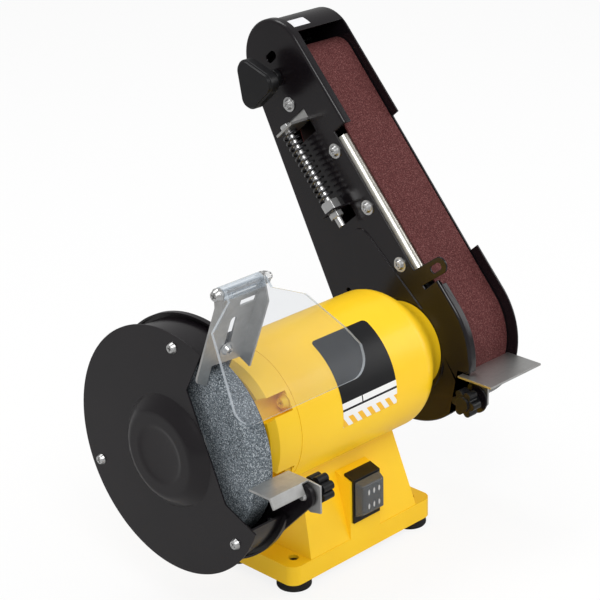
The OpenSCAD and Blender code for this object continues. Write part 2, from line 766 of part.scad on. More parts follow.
module guard_cover() {
    x0 = guard_x0;
    t = cover_x1 - guard_x0;
    color(paint_black) about_shaft() difference() {
        turned_x([[x0 + t, guard_r], [x0, guard_r], [x0, dome_r], [x0 - dome_h * 0.35, dome_r - 3],
                  [x0 - dome_h * 0.9, dome_r - 9], [x0 - dome_h, dome_r - 13], [x0 - dome_h, dome_r - 19],
                  [x0 - dome_h + 1.5, dome_r - 25], [x0 - dome_h + 2, 0], [x0 - dome_h + 2 + t, 0],
                  [x0 - dome_h + 1.5 + t, dome_r - 25], [x0 - dome_h + t, dome_r - 19],
                  [x0 - dome_h + t, dome_r - 13.5], [x0 - dome_h * 0.9 + t, dome_r - 10],
                  [x0 - dome_h * 0.35 + t, dome_r - 4], [x0 + t, dome_r - 1]]);
        sheet_x(guard_x0 - 1, 5) opening2d(2 * guard_r);
        for (a = [97, -23, -143])
            rotate([a, 0, 0]) translate([0, cover_screw_r, 0]) disc_x(x0 - 1, x0 + 3, 2 + seat_fit);
    }
}

module cover_screws() {
    color(zinc) about_shaft() for (a = [97, -23, -143])
        rotate([a, 0, 0]) translate([guard_x0, cover_screw_r, 0]) pan_screw(2, 4.2, 2.6, 8);
}

module guard_mount_screws() {
    color(zinc) about_shaft() for (a = [90, 210, 330])
        rotate([a, 0, 0]) translate([guard_back_x - guard_t, nose_r - 3, 0]) pan_screw(2, 3.6, 1.4, 9);
}

module rest_support() {
    color(paint_black) about_shaft() difference() {
        sheet_x(support_x0, support_t) difference() {
            union() {
                loop2d(support_at[0], 11, [rest_bolt_y, rest_bolt_z], 9.4);
                slot2d(support_at[1], support_at[0], 11);
            }
            translate([rest_bolt_y, rest_bolt_z]) circle(m6_r + seat_fit);
        }
        for (p = support_at)
            translate([0, p[0], p[1]]) disc_x(support_x0 - 1, support_x0 + support_t + 1, m5_r + seat_fit);
    }
}

module rest_bolt() {
    color(zinc) about_shaft() {
        translate([0, rest_bolt_y, rest_bolt_z]) {
            disc_x(support_x0 - 2.2, support_x0, 2.6, 3.6);
            disc_x(support_x0 - tiny, rest_x1 + 14, m6_r);
        }
        for (p = support_at)
            translate([support_x0 + support_t, p[0], p[1]]) mirror([1, 0, 0])
                pan_screw(m5_r, 4.4, 2.4, guard_t + support_t + 1);
    }
}

module grinder_rest() {
    flange_x0 = rest_x1 - rest_t;
    bend_y = rest_y - rest_d;
    color(zinc) about_shaft() difference() {
        union() {
            translate([rest_x1 - rest_w, bend_y, rest_z - rest_t]) cube([rest_w, rest_d, rest_t]);
            translate([rest_x1 - rest_w, bend_y, rest_z]) rotate([rest_bend, 0, 0])
                translate([0, -rest_lip, -rest_t]) cube([rest_w - 7.5, rest_lip, rest_t]);
            sheet_x(flange_x0, rest_t)
                polygon([[bend_y + 18, rest_z], [bend_y - 2, rest_z], [bend_y - 11.8, rest_z - 0.8],
                         [bend_y - 11.8, rest_z - 22.1], [bend_y - 2, rest_z - 24.3], [bend_y + 18, rest_z - 17.5]]);
        }
        sheet_x(flange_x0 - 1, rest_t + 2)
            slot2d([rest_bolt_y - 5, rest_bolt_z], [rest_bolt_y + 3, rest_bolt_z], m6_r + slide_gap);
    }
}

module rest_knob() {
    color(plastic_black) about_shaft() translate([0, rest_bolt_y, rest_bolt_z]) difference() {
        union() {
            lobed_knob(rest_x1 + 6, rest_x1 + 16, knob_r, 7);
            disc_x(rest_x1 + slide_gap, rest_x1 + 8, 6.5);
            disc_x(rest_x1 + 14, rest_x1 + 17, 7);
        }
        disc_x(rest_x1, rest_x1 + 14.2, m6_r + run_fit);
    }
}

// ---------------------------------------------------------------- deflector and eye shield

module deflector_screw() {
    color(zinc) on_deflector() translate([slot_x, -rest_t, 0]) rotate([0, 0, 90]) {
        translate([-0.9 - slide_gap, 0, 0]) pan_screw(m5_r, 4.4, 2.8, 10);
        tube_x(-0.9 - slide_gap, -slide_gap, 6, m5_r);
    }
}

module spark_deflector() {
    ear_r = barrel_r - 0.5;
    color(zinc) on_deflector() difference() {
        union() {
            rotate([90, 0, 0]) linear_extrude(rest_t)
                polygon([[deflector_x0, 44], [deflector_x0, -20], [deflector_x0 + 1.5, -24],
                         [wheel_x0 - 1.6, -30], [wheel_x0 - 1.6, -12], [deflector_x1, -14.5],
                         [deflector_x1, 46], [deflector_x1 - 4, 47.5], [deflector_x0 + 4, 47.5]]);
            sheet_x(deflector_x1 - rest_t, rest_t)
                polygon([[0, -14.5], [-11.6, -15.5], [-11.6, 42], [-ear_r, rod_z], [ear_r, rod_z], [0, 42]]);
            sheet_x(deflector_x0, rest_t)
                polygon([[0, 20], [-8, 30], [-8, 44], [-ear_r, rod_z], [ear_r, rod_z], [0, 42]]);
            for (x0 = [deflector_x0, deflector_x1 - rest_t])
                translate([0, 0, rod_z]) disc_x(x0, x0 + rest_t, ear_r);
        }
        translate([0, 1, 0]) rotate([90, 0, 0]) linear_extrude(rest_t + 2)
            slot2d([slot_x, -0.5], [slot_x, 25], m5_r + slide_gap);
        translate([slot_x + 2, -rest_t - 1, 36]) cube([15, rest_t + 2, 5.5]);
        translate([0, 0, rod_z]) disc_x(deflector_x0 - 1, deflector_x1 + 1, m5_r + seat_fit);
    }
}

module shield_rod() {
    color(zinc) on_deflector() translate([0, 0, rod_z]) {
        translate([deflector_x0 - 1, 0, 0]) pan_screw(m5_r, 4.6, 3, deflector_x1 - deflector_x0 + 9);
        tube_x(deflector_x0 - 1, deflector_x0, barrel_r - 0.1, m5_r);
        tube_x(deflector_x1, deflector_x1 + 1, barrel_r - 0.1, m5_r);
        translate([0, 0, 0]) hex_nut(deflector_x1 + 1, 4, 8, m5_r);
    }
}

module eye_shield() {
    inner = barrel_r + 0.2;
    low_x0 = -176.5;
    low_x1 = -53;
    low_z = -88;
    barrel_x0 = deflector_x0 + rest_t + slide_gap;
    barrel_x1 = deflector_x1 - rest_t - slide_gap;
    color([0.85, 0.9, 0.95, 0.35]) on_shield() difference() {
        union() {
            translate([0, -inner, 0]) rotate([90, 0, 0]) linear_extrude(shield_t) {
                polygon([[barrel_x0, 2], [barrel_x0, -6], [low_x0, -21], [low_x0, low_z + shield_corner],
                         [low_x0 + shield_corner, low_z], [low_x1 - shield_corner, low_z],
                         [low_x1, low_z + shield_corner], [low_x1, -67], [low_x1 - 10.5, -51], [-90, -19.5],
                         [-117, -7], [barrel_x1, 2]]);
                translate([low_x0 + shield_corner, low_z + shield_corner]) circle(shield_corner);
                translate([low_x1 - shield_corner, low_z + shield_corner]) circle(shield_corner);
            }
            disc_x(barrel_x0, barrel_x1, barrel_r);
            translate([barrel_x0 + 6, -inner - tiny, -barrel_r]) cube([barrel_x1 - barrel_x0 - 6, inner, barrel_r]);
        }
        disc_x(barrel_x0 - 1, barrel_x1 + 1, m5_r + run_fit);
    }
}

// ---------------------------------------------------------------- belt arm

// Arm outline, drawn as [-n, s], shrunk by inset
module arm2d(inset) {
    loop2d([0, 0], disc_r - inset, [-arm_top_n, arm_top_s], arm_top_r - inset);
}

// Front of the arm, cut back so that the belt can be reached
module arm_front2d(n0, s0, s1) {
    translate([-200, s0]) square([200 - n0, s1 - s0]);
}

// Part of the rim left away round the tool rest, in arm coordinates
module rest_gap2d() {
    rotate(arm_lean) wedge2d(185.5, 226, 2 * disc_r);
}

// Slit through which the belt's tool rest passes the arm plate, in arm coordinates
module rest_pass2d() {
    rotate(arm_lean) translate([-2 * disc_r, belt_rest_z - rest_t - 0.5])
        square([2 * disc_r + belt_rest_y + 5, rest_t + 1]);
}

// Cup of the rim that stays open for the belt on the side of the drive wheel
module belt_gap2d() {
    rotate(arm_lean) wedge2d(118, 205, 2 * disc_r);
    translate([-200, 0]) square([155, hood_low_s]);
}

module arm_plate() {
    lug_s = 35;
    window_s = carriage_tab_s - idler_travel - 2;
    color(paint_black) on_arm() {
        difference() {
            union() {
                sheet_x(arm_x, arm_t) difference() {
                    union() {
                        difference() {
                            arm2d(0);
                            arm_front2d(48, 26, 169);
                        }
                        translate(rest_ear) circle(rest_ear_r);
                        slot2d([-44, 37], [-75, lug_s - 1], 6.8);
                    }
                    circle(spigot_r + run_fit, $fn = 96);
                    slot2d([-67, lug_s - 0.3], [-73, lug_s - 0.8], 3);
                    translate(rest_ear) circle(m5_r + run_fit);
                    rest_pass2d();
                    slot2d([-26, 250.7], [-31, 250.7], 3.6);
                    translate([28, 62.7]) circle(2.6);
                    translate([-tracking_n, tracking_s]) circle(m6_r + run_fit);
                    translate([-guide_n, guide_s]) circle(m5_r + seat_fit);
                    translate([tab_y0 - 1, window_s]) square([tab_w + 4, window_top_s - window_s]);
                    translate([-spring_n - 8, tab_s - 10]) square([16, 10]);
                    for (s = platen_bolt_s)
                        translate([-platen_bolt_n, s]) circle(m5_r + seat_fit);
                }
                sheet_x(arm_x, rim_w) difference() {
                    arm2d(0);
                    arm2d(arm_t);
                    arm_front2d(45, 22, 169);
                    rest_gap2d();
                }
                translate([spring_x - 8, -spring_n - 8, tab_s]) cube([arm_x + arm_t / 2 - spring_x + 8, 16, arm_t]);
                arm_stiffener();
            }
            translate([spring_x, -spring_n, tab_s - 1]) cylinder(h = arm_t + 2, r = m6_r + seat_fit);
        }
    }
}

rest_ear = [belt_rest_bolt_y * cos(arm_lean) - belt_rest_bolt_z * sin(arm_lean),
            belt_rest_bolt_y * sin(arm_lean) + belt_rest_bolt_z * cos(arm_lean)];
tab_y0 = -spring_n - 15;
tab_w = 21.5;
guide_n = 20;
guide_s = 211.4;
window_top_s = 201;
platen_back_n = 30;

// Raised panel pressed into the arm plate between the motor and the spring
module arm_stiffener() {
    sheet_x(arm_x - 1.2, 1.2 + arm_t / 2) difference() {
        loop2d([4, 0], nose_r + 5, [-14, 88], 10);
        circle(nose_r + 2.2);
    }
}

module arm_collar() {
    color(steel) about_shaft() tube_x(arm_sheet_x + slide_gap, spigot_x1 - 0.5, spigot_r + 6, spigot_r + seat_fit);
}

module outer_guard() {
    x0 = arm_x + rim_w - 3.5;
    sheet_x0 = arm_x1 - guard_sheet;
    color(paint_black) on_arm() {
        sheet_x(sheet_x0, guard_sheet) difference() {
            arm2d(guard_inset);
            arm_front2d(belt_n + 0.3, 40, 165);
            for (p = hood_screw_at)
                translate(p) circle(small_screw_r + seat_fit);
        }
        sheet_x(x0, arm_x1 - x0) difference() {
            arm2d(guard_inset);
            arm2d(guard_inset + guard_sheet);
            belt_gap2d();
            translate([-200, hood_low_s]) square([400, 200]);
        }
    }
}

module top_hood() {
    x0 = arm_sheet_x + 1;
    x1 = arm_x1 - guard_sheet;
    color(paint_black) on_arm() difference() {
        union() {
            sheet_x(x0, x1 - x0) difference() {
                arm2d(guard_inset);
                arm2d(guard_inset + guard_sheet);
                translate([-200, -200]) square([400, 200 + hood_low_s]);
                translate([-200, 0]) square([200 - arm_top_n - 20, hood_front_s]);
            }
            sheet_x(x1 - guard_sheet, guard_sheet) intersection() {
                arm2d(guard_inset);
                for (p = hood_screw_at)
                    translate(p) circle(9);
            }
        }
        for (p = hood_screw_at)
            translate([0, p[0], p[1]]) disc_x(arm_x, arm_x1, small_screw_r + seat_fit);
    }
}

module hood_screws() {
    color(zinc) on_arm() for (p = hood_screw_at)
        translate([arm_x1, p[0], p[1]]) mirror([1, 0, 0]) pan_screw(small_screw_r, 3, 1.8, 9);
}

// Rectangle between two corners with its first corner rounded
module bent2d(x0, y0, x1, y1, r) {
    translate([x0 + r, y0 + r]) circle(r);
    translate([x0 + r, y0]) square([x1 - x0 - r, y1 - y0]);
    translate([x0, y0 + r]) square([x1 - x0, y1 - y0 - r]);
}

module platen() {
    face_n = belt_n - belt_t - slide_gap;
    edge_x = belt_x + belt_w - 1;
    color([0.78, 0.77, 0.72]) on_arm() difference() {
        translate([0, 0, platen_s0]) linear_extrude(platen_s1 - platen_s0) difference() {
            bent2d(arm_sheet_x, -face_n, edge_x, -platen_back_n, platen_bend);
            bent2d(arm_sheet_x + platen_t, platen_t - face_n, edge_x + 1, 1 - platen_back_n, platen_bend - platen_t);
        }
        for (s = platen_bolt_s)
            translate([0, -platen_bolt_n, s]) disc_x(arm_sheet_x - 1, arm_sheet_x + 3, m5_r + seat_fit);
    }
}

module platen_bolts() {
    color(zinc) on_arm() for (s = platen_bolt_s)
        translate([arm_x - 1, -platen_bolt_n, s]) {
            pan_screw(m5_r, 4.4, 3, 9);
            tube_x(0, 1, 6, m5_r);
        }
}

module sanding_belt() {
    color([0.38, 0.2, 0.2]) on_arm() sheet_x(belt_x, belt_w) difference() {
        loop2d([0, 0], loop_drive_r, [-idler_n, idler_s], idler_loop_r);
        loop2d([0, 0], loop_drive_r - belt_t, [-idler_n, idler_s], idler_loop_r - belt_t);
    }
}

module tension_bolt() {
    color(zinc) on_arm() translate([spring_x, -spring_n, 0]) {
        translate([0, 0, tab_s - 13]) cylinder(h = carriage_tab_s + carriage_t + 0.4 + 13 - tab_s, r = m6_r);
        translate([0, 0, carriage_tab_s + carriage_t + slide_gap]) cylinder(h = 4, r = 8 / sqrt(3), $fn = 6);
    }
}

module tension_nuts() {
    color(zinc) on_arm() translate([spring_x, -spring_n, 0]) rotate([0, -90, 0]) {
        hex_nut(nut_s, nut_h, 13, m6_r + seat_fit);
        hex_nut(tab_s - 5, 5, 10, m6_r + seat_fit);
    }
}

module tension_spring() {
    coil_r = spring_r - spring_wire;
    free = carriage_tab_s - 0.2 - spring_s0 - 0.2 - 2 * spring_wire;
    steps_turn = 10;
    steps = spring_turns * steps_turn;
    sides = 6;
    function ring(i) = let (a = 360 * i / steps_turn, z = spring_s0 + 0.2 + spring_wire + free * i / steps)
        [for (k = [0 : sides - 1]) let (b = 360 * k / sides)
            [(coil_r + spring_wire * cos(b)) * cos(a), (coil_r + spring_wire * cos(b)) * sin(a), z + spring_wire * sin(b)]];
    points = [for (i = [0 : steps]) each ring(i)];
    sides_faces = [for (i = [0 : steps - 1], k = [0 : sides - 1])
        let (a = i * sides + k, b = i * sides + (k + 1) % sides) [a, a + sides, b + sides, b]];
    start = [for (k = [0 : sides - 1]) k];
    end = [for (k = [sides - 1 : -1 : 0]) steps * sides + k];
    color(steel) on_arm() translate([spring_x, -spring_n, 0]) polyhedron(points, concat(sides_faces, [start, end]));
}

module guide_screw() {
    color(zinc) on_arm() translate([arm_x - 1, -guide_n, guide_s]) {
        pan_screw(m5_r, 4.4, 3, 1 + arm_t + 0.2 + carriage_t + 2);
        tube_x(0, 1, 6, m5_r);
        hex_nut(1 + arm_t + 0.2 + carriage_t + 0.2, 1.6, 8, m5_r);
    }
}

module idler_carriage() {
    color(zinc) on_arm() difference() {
        union() {
            sheet_x(carriage_x, carriage_t) difference() {
                polygon([[-46, idler_s - 12], [-46, idler_s + 6], [-38, idler_s + 12], [-8, idler_s + 12],
                         [-2, idler_s + 4], [tab_y0 + tab_w + 2.5, carriage_tab_s], [tab_y0 - 1, carriage_tab_s]]);
                slot2d([-guide_n, guide_s], [-guide_n, guide_s + idler_travel], m5_r + slide_gap);
                translate([-idler_n, idler_s]) circle(5 + seat_fit);
            }
            translate([spring_x - 8, tab_y0, carriage_tab_s])
                cube([carriage_x + carriage_t - spring_x + 8, tab_w, carriage_t]);
        }
        translate([spring_x, -spring_n, carriage_tab_s - 1]) cylinder(h = carriage_t + 2, r = m6_r + run_fit);
    }
}

module idler_axle() {
    color(steel) on_arm() translate([0, -idler_n, idler_s]) {
        disc_x(carriage_x, belt_x + belt_w - 3, 5);
        disc_x(carriage_x + carriage_t + 0.1, carriage_x + carriage_t + 2.1, 8);
    }
}

module idler_roller() {
    color([0.7, 0.71, 0.72]) on_arm() translate([0, -idler_n, idler_s]) difference() {
        disc_x(belt_x, belt_x + belt_w, idler_r);
        disc_x(belt_x - 1, belt_x + belt_w + 1, 6.5);
        disc_x(belt_x - 1, belt_x + 7, 11 + seat_fit);
        disc_x(belt_x + belt_w - 7, belt_x + belt_w + 1, 11 + seat_fit);
    }
}

module idler_bearings() {
    color(steel) on_arm() translate([0, -idler_n, idler_s])
        for (x0 = [belt_x, belt_x + belt_w - 7])
            tube_x(x0, x0 + 7, 11, 5 + run_fit);
}

// Rounded three-cornered outline of the tracking knob, shrunk by inset
module wing2d(inset) {
    corner_r = 9.5;
    ring = 12;
    for (i = [0 : 2])
        slot2d(ring * [cos(90 + 120 * i), sin(90 + 120 * i)], ring * [cos(210 + 120 * i), sin(210 + 120 * i)],
               corner_r - inset);
}

module tracking_knob() {
    x0 = arm_x - 28;
    color(plastic_black) on_arm() translate([0, -tracking_n, tracking_s]) {
        sheet_x(x0, 2.01) wing2d(1.4);
        sheet_x(x0 + 2, 8) wing2d(0);
        disc_x(x0 + 10 - tiny, arm_x - 5, 7, 5);
        disc_x(arm_x - 5 - tiny, arm_x - 0.4, 7);
        disc_x(arm_x - 0.4 - tiny, arm_sheet_x, m6_r);
    }
}

// ---------------------------------------------------------------- belt rest

module belt_rest_bolt() {
    color(zinc) about_shaft() translate([0, belt_rest_bolt_y, belt_rest_bolt_z]) {
        disc_x(arm_x - 12, arm_sheet_x + slide_gap + rest_t + 0.5, m5_r);
        disc_x(arm_sheet_x + slide_gap + rest_t + 0.2, arm_sheet_x + slide_gap + rest_t + 3, 5.5, 4);
    }
}

module belt_rest() {
    flange_x0 = arm_sheet_x + slide_gap;
    front = belt_rest_y - belt_rest_d;
    color(zinc) about_shaft() difference() {
        union() {
            translate([belt_rest_x0, front, belt_rest_z - rest_t]) cube([belt_rest_w, belt_rest_d, rest_t]);
            sheet_x(flange_x0, rest_t)
                polygon([[belt_rest_y, belt_rest_z - rest_t / 2], [belt_rest_y - 22, belt_rest_z - rest_t / 2],
                         [belt_rest_y - 23.5, belt_rest_z - 6], [belt_rest_y - 23.5, belt_rest_z - 20],
                         [belt_rest_y - 18, belt_rest_z - 27.5], [belt_rest_y - 4, belt_rest_z - 27.5],
                         [belt_rest_y + 1, belt_rest_z - 22], [belt_rest_y + 1, belt_rest_z - 6]]);
        }
        sheet_x(flange_x0 - 1, rest_t + 2)
            slot2d([belt_rest_bolt_y - 4.2, belt_rest_bolt_z], [belt_rest_bolt_y + 8.2, belt_rest_bolt_z],
                   m5_r + slide_gap);
    }
}

module belt_rest_knob() {
    color(plastic_black) about_shaft() translate([0, belt_rest_bolt_y, belt_rest_bolt_z]) difference() {
        union() {
            lobed_knob(arm_x - 14, arm_x - 5, small_knob_r, 6);
            disc_x(arm_x - 7, arm_x - slide_gap, 5.5);
            disc_x(arm_x - 15.5, arm_x - 12, 6);
        }
        disc_x(arm_x - 12.2, arm_x, m5_r + run_fit);
    }
}

base_casting();
bottom_cover();
bottom_cover_screws();
rubber_feet();
capacitor();
switch_frame();
switch_boot();
switch_rocker();
motor_housing();
left_end_cap();
right_end_cap();
end_cap_screws();
motor_mount_screws();
stator_core();
stator_windings();
ball_bearings();
motor_shaft();
rotor_core();
inner_flange();
grinding_wheel();
outer_flange();
wheel_nut();
drive_wheel();
drive_wheel_nut();
wheel_guard();
guard_cover();
cover_screws();
guard_mount_screws();
rest_support();
rest_bolt();
grinder_rest();
rest_knob();
deflector_screw();
spark_deflector();
shield_rod();
eye_shield();
arm_plate();
arm_collar();
outer_guard();
top_hood();
hood_screws();
platen();
platen_bolts();
sanding_belt();
tension_bolt();
tension_nuts();
tension_spring();
guide_screw();
idler_carriage();
idler_axle();
idler_roller();
idler_bearings();
tracking_knob();
belt_rest_bolt();
belt_rest();
belt_rest_knob();
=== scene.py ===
"""Finished looks of a two-ended bench grinder and belt sander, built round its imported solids."""
from __future__ import annotations

import json
import logging
from dataclasses import dataclass
from enum import Enum
from math import cos, pi, radians, sin
from typing import Optional, Sequence, Union

import bmesh
import bpy
from mathutils import Matrix, Vector

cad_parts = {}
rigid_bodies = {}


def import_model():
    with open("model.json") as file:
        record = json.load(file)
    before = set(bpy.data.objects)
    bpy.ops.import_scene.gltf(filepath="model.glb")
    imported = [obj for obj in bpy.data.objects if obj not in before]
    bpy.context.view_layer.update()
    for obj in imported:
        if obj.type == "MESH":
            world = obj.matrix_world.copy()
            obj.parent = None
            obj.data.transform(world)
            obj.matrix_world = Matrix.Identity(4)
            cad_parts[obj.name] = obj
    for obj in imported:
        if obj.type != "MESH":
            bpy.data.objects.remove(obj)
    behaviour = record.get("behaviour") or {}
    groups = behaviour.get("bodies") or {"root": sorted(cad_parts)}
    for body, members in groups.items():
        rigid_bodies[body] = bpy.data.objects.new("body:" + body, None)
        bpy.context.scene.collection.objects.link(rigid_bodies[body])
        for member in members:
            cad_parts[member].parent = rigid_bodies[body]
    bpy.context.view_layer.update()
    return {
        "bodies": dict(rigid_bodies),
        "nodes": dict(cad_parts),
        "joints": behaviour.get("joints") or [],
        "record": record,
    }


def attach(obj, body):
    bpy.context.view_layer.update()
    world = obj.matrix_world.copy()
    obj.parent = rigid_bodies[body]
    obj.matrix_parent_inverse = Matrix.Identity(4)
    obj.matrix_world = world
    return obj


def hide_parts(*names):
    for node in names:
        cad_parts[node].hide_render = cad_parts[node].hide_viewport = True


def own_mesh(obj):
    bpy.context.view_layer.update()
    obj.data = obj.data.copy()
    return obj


log = logging.getLogger("grinder")

Colour = tuple[float, float, float]
Point = tuple[float, float, float]
Span = tuple[float, float]
Value = Union[float, Colour, "Wire"]

SHAFT_HEIGHT = 0.1356
ARM_LEAN = radians(41.4)
ARM = Matrix.Translation((0.0, 0.0, SHAFT_HEIGHT)) @ Matrix.Rotation(-ARM_LEAN, 4, "X")
ROUND_FROM = radians(34)
SHARP_FROM = radians(32)
JOIN_WITHIN = 2e-6


class Edge(Enum):
    """How far the edges of a piece are rounded, in metres."""

    SHARP = 0.0
    SHEET = 0.0003
    TURNED = 0.0005
    MOULDED = 0.0009
    CAST = 0.0016
    SOFT = 0.0024
    BEND = 0.0026


# ------------------------------------------------------------------ shader building

class Wire:
    """An output socket that can be used in sums."""

    def __init__(self, graph: "Graph", socket: bpy.types.NodeSocket) -> None:
        """Keeps the socket and the graph it belongs to."""
        self.graph = graph
        self.socket = socket

    def _math(self, operation: str, a: Value, b: Value) -> "Wire":
        """Adds one Math node."""
        return self.graph.node("Math", {"operation": operation}, {0: a, 1: b})

    def __add__(self, other: Value) -> "Wire":
        """Sum."""
        return self._math("ADD", self, other)

    def __sub__(self, other: Value) -> "Wire":
        """Difference."""
        return self._math("SUBTRACT", self, other)

    def __rsub__(self, other: Value) -> "Wire":
        """Difference from a number."""
        return self._math("SUBTRACT", other, self)

    def __mul__(self, other: Value) -> "Wire":
        """Product."""
        return self._math("MULTIPLY", self, other)

    def __mod__(self, other: Value) -> "Wire":
        """Remainder, always positive."""
        return self._math("FLOORED_MODULO", self, other)

    def __gt__(self, other: Value) -> "Wire":
        """1 where this is larger, else 0."""
        return self._math("GREATER_THAN", self, other)

    def __lt__(self, other: Value) -> "Wire":
        """1 where this is smaller, else 0."""
        return self._math("LESS_THAN", self, other)

    __radd__ = __add__

    def clamp(self) -> "Wire":
        """This value kept between 0 and 1."""
        return self._math("MINIMUM", self._math("MAXIMUM", self, 0.0), 1.0)


class Graph:
    """The node tree of one material or world."""

    def __init__(self, tree: bpy.types.NodeTree) -> None:
        """Empties the tree."""
        self.tree = tree
        tree.nodes.clear()

    def node(self, kind: str, settings: Optional[dict] = None, sockets: Optional[dict] = None,
             output: Union[int, str] = 0) -> Wire:
        """Adds any node.

        Args:
            kind: The node's type without its ShaderNode prefix.
            settings: Its properties; "stops" holds a ramp's (place, colour) pairs.
            sockets: Values or wires for its inputs, by name or number.
            output: The output to hand back.

        Returns:
            The chosen output.
        """
        made = self.tree.nodes.new("ShaderNode" + kind)
        for key, value in (settings or {}).items():
            if key == "stops":
                ramp = made.color_ramp.elements
                ramp[0].position, ramp[1].position = value[0][0], value[-1][0]
                ramp[0].color, ramp[1].color = (*value[0][1], 1.0), (*value[-1][1], 1.0)
                for place, colour in value[1:-1]:
                    ramp.new(place).color = (*colour, 1.0)
            else:
                setattr(made, key, value)
        for key, value in (sockets or {}).items():
            socket = made.inputs[key]
            if isinstance(value, Wire):
                self.tree.links.new(value.socket, socket)
            elif isinstance(value, tuple) and socket.type == "RGBA":
                socket.default_value = (*value, 1.0)
            else:
                socket.default_value = value
        return Wire(self, made.outputs[output])

    def place(self, stretch: Point = (1.0, 1.0, 1.0), turn: Point = (0.0, 0.0, 0.0)) -> Wire:
        """Object coordinates in metres, scaled and turned by one Mapping node.

        Args:
            stretch: Scale along each axis.
            turn: Rotation about each axis.

        Returns:
            The coordinates.
        """
        at = self.node("TexCoord", output="Object")
        return self.node("Mapping", {}, {"Vector": at, "Rotation": turn, "Scale": stretch})

    def noise(self, at: Wire, scale: float, detail: float = 2.0, rough: float = 0.5) -> Wire:
        """Soft noise between 0 and 1.

        Args:
            at: Where it is read.
            scale: Blotches per metre.
            detail: Finer layers added to it.
            rough: How strong the finer layers are.

        Returns:
            The noise.
        """
        return self.node("TexNoise", {}, {
            "Vector": at, "Scale": scale, "Detail": detail, "Roughness": rough})

    def cells(self, at: Wire, scale: float, output: str = "Distance") -> Wire:
        """Cell noise.

        Args:
            at: Where it is read.
            scale: Cells per metre.
            output: The output to hand back.

        Returns:
            The chosen output.
        """
        return self.node("TexVoronoi", {}, {"Vector": at, "Scale": scale}, output)

    def ramp(self, value: Wire, *stops: tuple[float, Colour]) -> Wire:
        """A colour ramp.

        Args:
            value: Where along the ramp to read.
            stops: Places and their colours, in order.

        Returns:
            The colour.
        """
        return self.node("ValToRGB", {"stops": stops}, {"Fac": value})

    def mix(self, share: Value, a: Value, b: Value) -> Wire:
        """One colour turning into another.

        Args:
            share: How much of b is taken.
            a: The colour at 0.
            b: The colour at 1.

        Returns:
            The colour.
        """
        return self.node("Mix", {"data_type": "RGBA"}, {0: share, 6: a, 7: b}, 2)

    def surface(self, sockets: dict, height: Optional[Wire] = None, depth: float = 0.0002,
                strength: float = 0.5) -> None:
        """Ends the graph in a surface shader.

        Args:
            sockets: Inputs of the surface shader.
            height: Relief, or None for a smooth surface.
            depth: How deep the relief is, in metres.
            strength: How strongly the relief shows.
        """
        if height is not None:
            sockets = dict(sockets, Normal=self.node(
                "Bump", {}, {"Strength": strength, "Distance": depth, "Height": height}))
        self.end(self.node("BsdfPrincipled", {}, sockets))

    def end(self, shader: Wire, kind: str = "OutputMaterial") -> None:
        """Links a shader to the output.

        Args:
            shader: The shader to show.
            kind: The output node's type without its ShaderNode prefix.
        """
        out = self.tree.nodes.new("ShaderNode" + kind)
        self.tree.links.new(shader.socket, out.inputs["Surface"])


# ------------------------------------------------------------------ finishes

@dataclass(frozen=True)
class Finish:
    """A finish of the machine: its name and the record's slot it belongs to."""

    name: str
    slot: str

    def shade(self, g: Graph) -> None:
        """Builds the nodes; each kind of finish has its own."""
        raise NotImplementedError

    def material(self) -> bpy.types.Material:
        """The Blender material, made once."""
        found = bpy.data.materials.get(self.name)
        if found is None:
            found = bpy.data.materials.new(self.name)
            found.use_nodes = True
            self.shade(Graph(found.node_tree))
        return found


@dataclass(frozen=True)
class Enamel(Finish):
    """Sprayed enamel on castings and pressed steel, with orange peel."""

    colour: Colour
    shade_colour: Colour
    roughness: float
    peel: float
    coat: float
    gloss: float

    def shade(self, g: Graph) -> None:
        """Orange peel, faint mottling and a clear coat."""
        at = g.place()
        drift = g.noise(at, 22.0, 3.0)
        peel = g.noise(at, 620.0, 2.0) * 0.6 + g.noise(at, 190.0, 2.0) * 0.4
        specks = (g.cells(at, 420.0) < 0.05) * 0.35
        colour = g.mix((drift - 0.35) * 1.6 + specks, self.colour, self.shade_colour)
        g.surface({
            "Base Color": colour,
            "Roughness": self.roughness + g.noise(at, 60.0, 3.0) * 0.12,
            "Specular IOR Level": self.gloss,
            "Coat Weight": self.coat,
            "Coat Roughness": 0.12,
        }, peel, 0.00025, self.peel)


@dataclass(frozen=True)
class Plated(Finish):
    """Bare or zinc plated metal, with rolling lines and a cloudy bloom."""

    colour: Colour
    dull: Colour
    roughness: float
    lines: Point = (1.0, 1.0, 1.0)
    turn: Point = (0.0, 0.0, 0.0)
    line_depth: float = 0.12

    def shade(self, g: Graph) -> None:
        """Blotches of bloom over fine lines along one direction."""
        at = g.place()
        along = g.place(self.lines, self.turn)
        bloom = g.noise(at, 90.0, 4.0, 0.6)
        streak = g.noise(along, 900.0, 3.0, 0.7)
        g.surface({
            "Base Color": g.mix((bloom - 0.3) * 1.3 + (streak - 0.5) * 0.5, self.colour, self.dull),
            "Metallic": 1.0,
            "Roughness": self.roughness + bloom * 0.14 + streak * 0.1,
        }, streak, 0.0001, self.line_depth)


@dataclass(frozen=True)
class Moulded(Finish):
    """Moulded plastic or rubber with a fine spark-eroded grain."""

    colour: Colour
    pale: Colour
    roughness: float
    grain: float = 900.0
    relief: float = 0.3
    gloss: float = 0.3

    def shade(self, g: Graph) -> None:
        """Grain, with a little dust caught in it."""
        at = g.place()
        grain = g.noise(at, self.grain, 3.0, 0.6)
        dust = g.noise(at, 70.0, 4.0, 0.6)
        g.surface({
            "Base Color": g.mix((dust - 0.45) * 2.0, self.colour, self.pale),
            "Roughness": self.roughness + grain * 0.15 + dust * 0.08,
            "Specular IOR Level": self.gloss,
        }, grain, 0.0002, self.relief)


